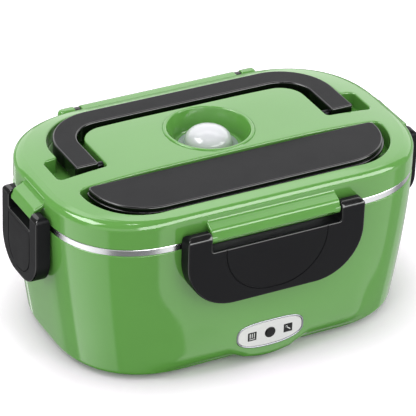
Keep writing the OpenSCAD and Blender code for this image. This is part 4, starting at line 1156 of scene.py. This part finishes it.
def makeVent():
    shape = newShape()
    stem, low, edge, base, dome, spring = (
        ventSet[k] for k in ("stem", "stemLow", "stemEdge", "base", "dome", "spring"))
    profile = [(0.0, low), (stem - edge, low), (stem, low + edge), (stem, base)]
    profile += [(ventSet["flange"] + out, base + up) for out, up in ventSet["flangeEdge"]]
    profile += [(dome + out, base + up) for out, up in ventSet["neck"]]
    rise = ventSet["apex"] - spring
    turns = [math.radians(t) for t in range(0, 90, 5)]
    bulge = [(dome * math.cos(a), spring + rise * math.sin(a)) for a in turns] + [(0.0, ventSet["apex"])]
    flange = revolve(shape, profile, 0, ventSet["y"], mark=1)
    cap = revolve(shape, bulge, 0, ventSet["y"])
    bridgeLoops(shape, [flange[-1], cap[0]], 0)
    finishPiece("ventButton", shape, ("glossyWhiteSilicone", "milkySilicone"), "vent", "white_silicone",
                "vent_plug", smooth=40, weighted=False)


makeVent()

# Front panel: rim, face, two symbols and the lamp's lens


def makePanelRim():
    shape = newShape()
    outer, inner = panelPath(panelSet["fit"]), panelPath(panelSet["rim"])
    back, low, out = (panelSet[k] for k in ("rimBack", "rimLow", "rimOut"))
    spreadOut, spreadIn = panelSet["rimSpread"]
    loops = [(outer, 0, back), (outer, 0, low)]
    loops += [(outer, -spreadOut * (1 - math.cos(a)), low - out * math.sin(a)) for a in (0.5, 1.0, 1.57)]
    loops += [(inner, spreadIn * (1 - math.sin(a)), low - out + out * (1 - math.cos(a)))
              for a in (0.0, 0.6, 1.1, 1.57)]
    loops.append((inner, 0, back))
    rings = [addLoop(shape, [frontPlace(u, v, w) for u, v in path(grow)]) for path, grow, w in loops]
    bridgeLoops(shape, rings + [rings[0]])
    finishPiece("panelRim", shape, "brightChrome", "box_body", "chrome_trim", "panel_bezel", smooth=50,
                weighted=False)


def addFrontStack(shape, levels):
    # a closed stack of outlines on the boss, each with its depth
    rings = [addLoop(shape, [frontPlace(u, v, w) for u, v in points]) for points, w in levels]
    bridgeLoops(shape, rings)
    addFace(shape, rings[0])
    addFace(shape, rings[-1][::-1])


def makePanelFace():
    shape = newShape()
    side = panelPath(panelSet["rim"] + panelSet["fit"])
    low, spread, rise = (panelSet[k] for k in ("faceLow", "faceSpread", "faceRise"))
    levels = [(side(0), panelSet["faceBack"]), (side(0), low)]
    levels += [(side(-spread * (1 - math.cos(a))), low - rise * math.sin(a)) for a in (0.5, 1.0, 1.57)]
    addFrontStack(shape, levels)
    finishPiece("panelPlate", shape, "glossyWhitePolycarbonate", "box_body", "white_face", "panel_face")


# bars are light strokes on the dark squares: side, offset, height, half width, half height and turn
symbolSet = {
    "x": 11.2, "side": 5.4, "corner": 0.3, "from": -0.16, "to": 0.2, "edges": (0.03, 0.0),
    "barCorner": 0.12, "barFrom": -0.18, "barTo": 0.0, "barEdges": (0.01, 0.0),
    "bars": ((-1, -1.3, 0.5, 0.26, 1.4, 0), (-1, 0, 0.5, 0.26, 1.4, 0), (-1, 1.3, 0.5, 0.26, 1.4, 0),
             (-1, 0, -1.7, 1.8, 0.2, 0), (1, 0, 0.0, 0.3, 1.9, 50), (1, -1.0, 1.0, 0.55, 0.55, 0)),
}
lensSet = {
    "r": 3.3, "profile": ((0.0, 3.0), (0.0, -0.2), (0.15, -0.38), (0.5, -0.5), (1.3, -0.57), (2.7, -0.6)),
}


def makePanelSymbols():
    shape = newShape()
    s = symbolSet["side"] / 2
    for x in (-symbolSet["x"], symbolSet["x"]):
        square = boxCorners(x - s, x + s, -s, s, symbolSet["corner"])
        roundedSlab(shape, roundedPath(square, 6, 20), symbolSet["from"], symbolSet["to"], symbolSet["edges"],
                    frontPlace)
    for side, offset, z, halfX, halfZ, turn in symbolSet["bars"]:
        x = side * symbolSet["x"] + offset
        c, t = math.cos(math.radians(turn)), math.sin(math.radians(turn))
        bar = [(x + u * halfX * c - v * halfZ * t, z + u * halfX * t + v * halfZ * c, symbolSet["barCorner"])
               for u, v in signs]
        roundedSlab(shape, roundedPath(bar, 6, 20), symbolSet["barFrom"], symbolSet["barTo"],
                    symbolSet["barEdges"], frontPlace, mark=1)
    finishPiece("panelSymbols", shape, ("satinBlackInk", "glossyWhitePolycarbonate"), "box_body",
                "black_trim", "panel_icons", weighted=False)


def makeLampLens():
    shape = newShape()
    addFrontStack(shape, [(circlePoints(0, 0, lensSet["r"] - inset), w) for inset, w in lensSet["profile"]])
    finishPiece("lampLens", shape, "smokedLens", "box_body", "black_trim", "indicator_lens", smooth=40,
                weighted=False)


makePanelRim()
makePanelFace()
makePanelSymbols()
makeLampLens()
print("panel made")

# Geometry Nodes trees: screws, feet and the seal


def startTree(name, sizes):
    # a tree with one named input for each size, given in millimetres, and one for the finish
    tree = bpy.data.node_groups.new(name, "GeometryNodeTree")
    tree.interface.new_socket("Geometry", in_out="INPUT", socket_type="NodeSocketGeometry")
    tree.interface.new_socket("Geometry", in_out="OUTPUT", socket_type="NodeSocketGeometry")
    for label, size in sizes.items():
        socket = tree.interface.new_socket(label, in_out="INPUT", socket_type="NodeSocketFloat")
        socket.default_value = size / 1000
    tree.interface.new_socket("Finish", in_out="INPUT", socket_type="NodeSocketMaterial")
    return tree, addNode(tree, "NodeGroupInput").outputs


def closeTree(tree, given, geometry):
    real = addNode(tree, "GeometryNodeRealizeInstances", {"Geometry": geometry})
    painted = addNode(tree, "GeometryNodeSetMaterial", {"Geometry": real, "Material": given["Finish"]})
    addNode(tree, "NodeGroupOutput", {"Geometry": painted})
    return tree


def runTree(name, points, edges, tree, sizes, finish, body, slot, replaced):
    mesh = bpy.data.meshes.new(name)
    mesh.from_pydata([[c / 1000 for c in p] for p in points], edges, [])
    piece = addObject(name, mesh)
    modifier = piece.modifiers.new("build", "NODES")
    modifier.node_group = tree
    given = {label: size / 1000 for label, size in sizes.items()}
    given["Finish"] = materials[finish]
    for item in tree.interface.items_tree:
        if item.in_out == "INPUT" and item.name in given:
            modifier[item.identifier] = given[item.name]
    applyModifiers(piece)
    smoothFaces(piece.data, 35)
    print(name, "faces", len(piece.data.polygons))
    settle(piece, body, slot, replaced)


screwSizes = {
    "Head Radius": 2.8, "Head Height": 1.4, "Shank Radius": 1.4, "Thread Radius": 1.2, "Grip": 2.4,
    "Length": 12,
}
lidScrewSizes = dict(screwSizes, Grip=2.2, Length=8)
screwPlaces = {"baseX": 80, "baseY": 30, "baseZ": 2.4, "lidX": 50, "lidY": (-11, 24), "lidZ": 88.0}
crossSet = {"long": 1.15, "wide": 0.26}  # the cross recess, as shares of the head's radius


def makeScrewTree():
    # a flat-head screw pointing up with a cross recess below, on every point of the mesh
    tree, given = startTree("screwOnPoints", screwSizes)
    parts = (("Head Radius", "Head Height"), ("Shank Radius", "Grip"), ("Thread Radius", "Length"))
    rods = []
    for radius, height in parts:
        rod = addNode(tree, "GeometryNodeMeshCylinder", {
            "Vertices": 40, "Radius": given[radius], "Depth": given[height]})
        half = addNode(tree, "ShaderNodeMath", {0: given[height], 1: 0.5}, operation="MULTIPLY")
        up = addNode(tree, "ShaderNodeCombineXYZ", {"Z": half})
        rods.append(addNode(tree, "GeometryNodeTransform", {"Geometry": rod, "Translation": up}))
    head, shank, thread = rods
    long, wide = (
        addNode(tree, "ShaderNodeMath", {0: given["Head Radius"], 1: crossSet[k]}, operation="MULTIPLY")
        for k in ("long", "wide"))
    slots = []
    for first, second in ((long, wide), (wide, long)):
        size = addNode(tree, "ShaderNodeCombineXYZ", {"X": first, "Y": second, "Z": given["Head Height"]})
        slots.append(addNode(tree, "GeometryNodeMeshCube", {"Size": size}))
    cut = addNode(tree, "GeometryNodeMeshBoolean", {0: head, 1: slots}, operation="DIFFERENCE")
    joined = addNode(tree, "GeometryNodeJoinGeometry", {0: [thread, shank, cut]})
    screws = addNode(tree, "GeometryNodeInstanceOnPoints", {"Points": given["Geometry"], "Instance": joined})
    return closeTree(tree, given, screws)


screwTree = makeScrewTree()
baseX, baseY, baseZ, lidX, lidY, lidZ = screwPlaces.values()
runTree("baseScrewSet", [(baseX * x, baseY * y, baseZ) for x, y in signs], [], screwTree, screwSizes,
        "zincPlatedSteel", "box_body", "fastener_steel", "base_screws")
runTree("lidScrewSet", [(lidX * side, y, lidZ) for side in (-1, 1) for y in lidY], [], screwTree,
        lidScrewSizes, "zincPlatedSteel", "lid", "fastener_steel", "lid_screws")

footSizes = {"Radius": 6.5, "Height": 3.39, "Ring Width": 2.2, "Edge": 0.5}
footPlaces = {"x": 64, "y": 33}


def makeFootTree():
    # a rubber foot: a rounded ring around a sunk disc, on every point of the mesh
    tree, given = startTree("footOnPoints", footSizes)
    middle = addNode(tree, "ShaderNodeMath", {0: given["Ring Width"], 1: 0.5}, operation="MULTIPLY")
    path = addNode(tree, "ShaderNodeMath", {0: given["Radius"], 1: middle}, operation="SUBTRACT")
    ring = addNode(tree, "GeometryNodeCurvePrimitiveCircle", {"Resolution": 48, "Radius": path})
    profile = addNode(tree, "GeometryNodeCurvePrimitiveQuadrilateral", {
        "Width": given["Ring Width"], "Height": given["Height"]})
    soft = addNode(tree, "GeometryNodeFilletCurve", {"Curve": profile, "Radius": given["Edge"], "Count": 4},
                   mode="POLY")
    swept = addNode(tree, "GeometryNodeCurveToMesh", {"Curve": ring, "Profile Curve": soft})
    thin = addNode(tree, "ShaderNodeMath", {0: given["Height"], 1: 0.8}, operation="MULTIPLY")
    disc = addNode(tree, "GeometryNodeMeshCylinder", {"Vertices": 48, "Radius": path, "Depth": thin})
    joined = addNode(tree, "GeometryNodeJoinGeometry", {0: [disc, swept]})
    feet = addNode(tree, "GeometryNodeInstanceOnPoints", {"Points": given["Geometry"], "Instance": joined})
    return closeTree(tree, given, feet)


footPoints = [(footPlaces["x"] * x, footPlaces["y"] * y, footSizes["Height"] / 2) for x, y in signs]
runTree("rubberFeet", footPoints, [], makeFootTree(), footSizes, "mattRubber", "box_body", "foot_rubber",
        "rubber_feet")

sealSizes = {"Width": 4.0, "Height": 1.5, "Edge": 0.4}
sealPlace = {"inset": 5.6, "z": 87.6}  # of the strip's middle


def makeSealTree():
    # a soft strip with rounded edges, swept along the mesh's closed path
    tree, given = startTree("sealAlongPath", sealSizes)
    path = addNode(tree, "GeometryNodeMeshToCurve", {"Mesh": given["Geometry"]})
    level = addNode(tree, "GeometryNodeSetCurveNormal", {"Curve": path}, mode="Z_UP")
    profile = addNode(tree, "GeometryNodeCurvePrimitiveQuadrilateral", {
        "Width": given["Width"], "Height": given["Height"]})
    soft = addNode(tree, "GeometryNodeFilletCurve", {"Curve": profile, "Radius": given["Edge"], "Count": 4},
                   mode="POLY")
    strip = addNode(tree, "GeometryNodeCurveToMesh", {"Curve": level, "Profile Curve": soft})
    return closeTree(tree, given, strip)


def makeSeal():
    points = [(x, y, sealPlace["z"]) for x, y in mouthPoints(sealPlace["inset"])]
    edges = [(i, (i + 1) % len(points)) for i in range(len(points))]
    runTree("sealStrip", points, edges, makeSealTree(), sealSizes, "milkySilicone", "lid", "seal_silicone",
            "seal_gasket")


makeSeal()
print("screws, feet and seal made")

# Inner lid: a plate with two walls that hold the seal, and a field sunk towards the food

innerSet = {
    "low": 88.4, "thick": 1.8, "inset": 2.3, "walls": ((2.4, 3.5), (7.7, 8.9)), "wallLow": 87.1,
    "slopeFrom": 16, "slopeTo": 18.5, "field": 21, "sink": 1.2, "bore": 4.8, "screw": 2.9,
}


def makeInnerLid():
    shape = newShape()
    low, inset, wallLow = (innerSet[k] for k in ("low", "inset", "wallLow"))
    high = low + innerSet["thick"]
    sunk = low - innerSet["sink"]
    levels = [(inset, high), (inset, low)]
    for outer, inner in innerSet["walls"]:
        levels += [(outer, low), (outer, wallLow), (inner, wallLow), (inner, low)]
    levels += [(innerSet["slopeFrom"], low), (innerSet["slopeTo"], sunk), (innerSet["field"], sunk)]
    bridgeLoops(shape, [addLevel(shape, mouthPoints(further), z) for further, z in levels])
    holes = [circlePoints(0, wellSet["y"], innerSet["bore"])]
    holes += [circlePoints(side * lidX, y, innerSet["screw"]) for side in (-1, 1) for y in lidY]
    fillRegion(shape, mouthPoints(innerSet["field"]), holes, lambda u, v: (u, v, sunk))
    fillRegion(shape, mouthPoints(inset), holes, lambda u, v: (u, v, high))
    for hole in holes:
        bridgeLoops(shape, [addLevel(shape, hole, sunk), addLevel(shape, hole, high)])
    finishPiece("innerLid", shape, "satinGreenAbs", "lid", "green_inner", "lid_liner")


makeInnerLid()

# CAD pieces that stay, with their finishes

keptFinishes = {
    "base_plate": "satinGreenAbs", "inner_liner": "darkNylon", "heater_plate": "castAluminium",
    "heating_elements": "firedCeramic", "heater_clamp": "zincPlatedSteel", "clamp_screws": "zincPlatedSteel",
    "thermostat": "mouldedBlackNylon", "thermal_fuse": "firedCeramic", "power_board": "solderMask",
    "board_parts": "mouldedEpoxy", "heater_leads": "reddishPvc", "indicator_led": "lampEpoxy",
    "power_inlet": "mouldedBlackNylon", "inlet_pins": "platedBrass", "hinge_pins": "zincPlatedSteel",
    "handle_pins": "blackenedSteel", "vent_seat": "milkySilicone", "spoon": "brushedStainless",
    "fork": "brushedStainless",
}
for name, finish in keptFinishes.items():
    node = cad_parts[name]
    if not node.data.materials:
        node.data.materials.append(materials[finish])
    for slot in node.material_slots:
        slot.material = materials[finish]
print("kept pieces finished")

# Floor, light and surroundings

studioSet = {
    # the camera sees the floor a little pink, which takes out the green light that the box throws on it
    "floor": "#f8eefa", "bounce": "#dcdcdc", "world": 0.92, "above": 0.35,
    # the floor's own glow to the camera, in metres from the foot, which leaves a tight shadow round it
    "glow": {"half": (0.052, 0.013), "from": 0.052, "to": 0.1, "strength": 0.5},
    # where light panels and the gaps between them begin below the horizon, in degrees from -Y towards +X,
    # and between which heights of the view's direction they fade out
    "panels": ((-180, 0.6), (-164, 0.6), (-158, 0.7), (-148, 0.7), (-144, 0.4), (-121, 0.45), (-117, 2.2),
               (-90, 2.0), (-52, 1.3), (-48, 0.3), (-20, 0.35), (12, 0.4), (14, 1.75), (50, 1.4), (72, 1.2),
               (75, 0.4), (98, 0.4), (102, 0.8), (130, 0.75), (142, 0.3), (164, 0.3), (174, 0.6), (180, 2.2)),
    "fade": (-0.88, -0.72), "horizon": (-0.05, 0.0),
    # light panels above the horizon: from, to, low, high and strength, and how soft their edges are
    "upper": ((95, 205, 6, 62, 2.3), (105, 200, 50, 66, 2.0), (-10, 62, 5, 35, 9.0), (-78, -14, 0, 30, 1.6),
              (-131, -80, 43, 65, 13)),
    "soft": {"side": 0.04, "low": 0.03, "high": 0.02},
    "lamps": {
        "key": {"place": (-0.57, 0.3, 1.13), "size": (0.9, 0.7), "power": 3.0, "seen": False},
        "front": {"place": (0.5, -1.4, 0.7), "size": (0.8, 0.8), "power": 3.3, "seen": False},
        "left": {"place": (-1.5, 0.4, 0.4), "size": (0.8, 0.6), "power": 4.6, "seen": False},
        "right": {"place": (1.5, -0.2, 0.4), "size": (0.8, 0.6), "power": 4.4, "seen": False},
        "glint": {"place": (-0.12, -0.23, 1.35), "size": (0.16, 0.16), "power": 0.9, "seen": True},
    },
}


def makeFloor():
    mesh = bpy.data.meshes.new("studioFloor")
    mesh.from_pydata([(8 * x, 8 * y, 0) for x, y in signs], [], [(0, 1, 2, 3)])
    floor = addObject("studioFloor", mesh)
    floor.visible_glossy = False
    material, tree, place = startMaterial("paintedFloor")
    toCamera = addNode(tree, "ShaderNodeLightPath").outputs["Is Camera Ray"]
    mix = addNode(tree, "ShaderNodeMix", {
        0: toCamera, 6: linearColour(studioSet["bounce"]), 7: linearColour(studioSet["floor"])},
        data_type="RGBA")
    diffuse = addNode(tree, "ShaderNodeBsdfDiffuse", {"Color": mix.outputs[2]})
    # distance from a rectangle inside the foot, whose outline has round corners
    glow = studioSet["glow"]
    where = addNode(tree, "ShaderNodeSeparateXYZ", {0: place})
    past = []
    for axis, half in enumerate(glow["half"]):
        away = addNode(tree, "ShaderNodeMath", {0: where.outputs[axis]}, operation="ABSOLUTE")
        beyond = addNode(tree, "ShaderNodeMath", {0: away, 1: half}, operation="SUBTRACT")
        past.append(addNode(tree, "ShaderNodeMath", {0: beyond, 1: 0.0}, operation="MAXIMUM"))
    offset = addNode(tree, "ShaderNodeCombineXYZ", {0: past[0], 1: past[1]})
    reach = addNode(tree, "ShaderNodeVectorMath", {0: offset}, operation="LENGTH")
    grow = addNode(tree, "ShaderNodeMapRange", {
        "Value": reach.outputs["Value"], "From Min": glow["from"], "From Max": glow["to"],
        "To Max": glow["strength"]})
    seen = addNode(tree, "ShaderNodeMath", {0: toCamera, 1: grow}, operation="MULTIPLY")
    glowing = addNode(tree, "ShaderNodeEmission", {"Strength": seen})
    both = addNode(tree, "ShaderNodeAddShader", {0: diffuse, 1: glowing})
    addNode(tree, "ShaderNodeOutputMaterial", {"Surface": both})
    mesh.materials.append(material)


def panelLight(tree, way, flat, panel, below):
    # adds one light panel to what lies below it; way is the view's direction and flat its level length
    first, last, low, high, strength = panel
    soft = studioSet["soft"]
    middle, spread = math.radians((first + last) / 2), math.radians((last - first) / 2)
    low, high = math.sin(math.radians(low)), math.sin(math.radians(high))
    across = addNode(tree, "ShaderNodeMath", {0: way["X"], 1: math.sin(middle)}, operation="MULTIPLY")
    ahead = addNode(tree, "ShaderNodeMath", {0: way["Y"], 1: -math.cos(middle)}, operation="MULTIPLY")
    aim = addNode(tree, "ShaderNodeMath", {0: across, 1: ahead}, operation="ADD")
    turn = addNode(tree, "ShaderNodeMath", {0: aim, 1: flat}, operation="DIVIDE")
    spans = (
        (turn, math.cos(spread) - soft["side"], math.cos(spread)), (way["Z"], low - soft["low"], low),
        (way["Z"], high + soft["high"], high))
    edges = [addNode(tree, "ShaderNodeMapRange", {"Value": value, "From Min": start, "From Max": end})
             for value, start, end in spans]
    tall = addNode(tree, "ShaderNodeMath", {0: edges[1], 1: edges[2]}, operation="MULTIPLY")
    mask = addNode(tree, "ShaderNodeMath", {0: tall, 1: edges[0]}, operation="MULTIPLY")
    more = addNode(tree, "ShaderNodeMath", {0: mask, 1: strength - studioSet["above"]}, operation="MULTIPLY")
    return addNode(tree, "ShaderNodeMath", {0: below, 1: more}, operation="ADD")


def makeWorld():
    # white to the camera, even light on the object, and a ring of light panels in reflections
    world = bpy.data.worlds.new("studioWorld")
    bpy.context.scene.world = world
    world.use_nodes = True
    tree = world.node_tree
    tree.nodes.clear()
    path = addNode(tree, "ShaderNodeLightPath").outputs
    view = addNode(tree, "ShaderNodeTexCoord").outputs["Generated"]
    way = addNode(tree, "ShaderNodeSeparateXYZ", {0: view}).outputs
    front = addNode(tree, "ShaderNodeMath", {0: way["Y"], 1: -1.0}, operation="MULTIPLY")
    turn = addNode(tree, "ShaderNodeMath", {0: way["X"], 1: front}, operation="ARCTAN2")
    share = addNode(tree, "ShaderNodeMath", {0: turn, 1: 0.5 / math.pi, 2: 0.5}, operation="MULTIPLY_ADD")
    ramp = addNode(tree, "ShaderNodeValToRGB", {0: share})
    panels = studioSet["panels"]
    highest = max(level for angle, level in panels)
    stops = ramp.color_ramp.elements
    for angle, level in panels[1:-1]:
        stops.new(angle / 360 + 0.5)
    for stop, (angle, level) in zip(stops, panels):
        stop.color = (level / highest, level / highest, level / highest, 1)
    bright = addNode(tree, "ShaderNodeMath", {0: ramp, 1: highest}, operation="MULTIPLY")
    # the shaded floor close to the foot shows dark below the panels
    fade = addNode(tree, "ShaderNodeMapRange", {
        "Value": way["Z"], "From Min": studioSet["fade"][0], "From Max": studioSet["fade"][1]})
    ring = addNode(tree, "ShaderNodeMath", {0: bright, 1: fade}, operation="MULTIPLY")
    square = addNode(tree, "ShaderNodeMath", {0: way["Z"], 1: way["Z"]}, operation="MULTIPLY")
    rest = addNode(tree, "ShaderNodeMath", {0: 1.0, 1: square}, operation="SUBTRACT")
    flat = addNode(tree, "ShaderNodeMath", {0: rest, 1: 0.0}, operation="SQRT")
    above = studioSet["above"]
    for panel in studioSet["upper"]:
        above = panelLight(tree, way, flat, panel, above)
    over = addNode(tree, "ShaderNodeMapRange", {
        "Value": way["Z"], "From Min": studioSet["horizon"][0], "From Max": studioSet["horizon"][1]})
    glossy = addNode(tree, "ShaderNodeMapRange", {"Value": over, "To Min": ring, "To Max": above})
    shown = addNode(tree, "ShaderNodeMath", {0: path["Is Camera Ray"], 1: path["Is Transmission Ray"]},
                    operation="MAXIMUM")
    strength = addNode(tree, "ShaderNodeMapRange", {
        "Value": shown, "To Min": studioSet["world"], "To Max": 1.0})
    total = addNode(tree, "ShaderNodeMapRange", {
        "Value": path["Is Glossy Ray"], "To Min": strength, "To Max": glossy})
    white = addNode(tree, "ShaderNodeBackground", {"Color": (1, 1, 1, 1), "Strength": total})
    addNode(tree, "ShaderNodeOutputWorld", {"Surface": white})


def makeLamp(name, settings):
    data = bpy.data.lights.new(name, "AREA")
    data.shape = "RECTANGLE"
    data.size, data.size_y = settings["size"]
    data.energy = settings["power"]
    lamp = addObject(name, data)
    lamp.location = settings["place"]
    lamp.rotation_euler = (-lamp.location).to_track_quat("-Z", "Y").to_euler()
    lamp.visible_glossy = settings["seen"]


makeFloor()
makeWorld()
for name, settings in studioSet["lamps"].items():
    makeLamp(name + "Softbox", settings)
print("studio made")
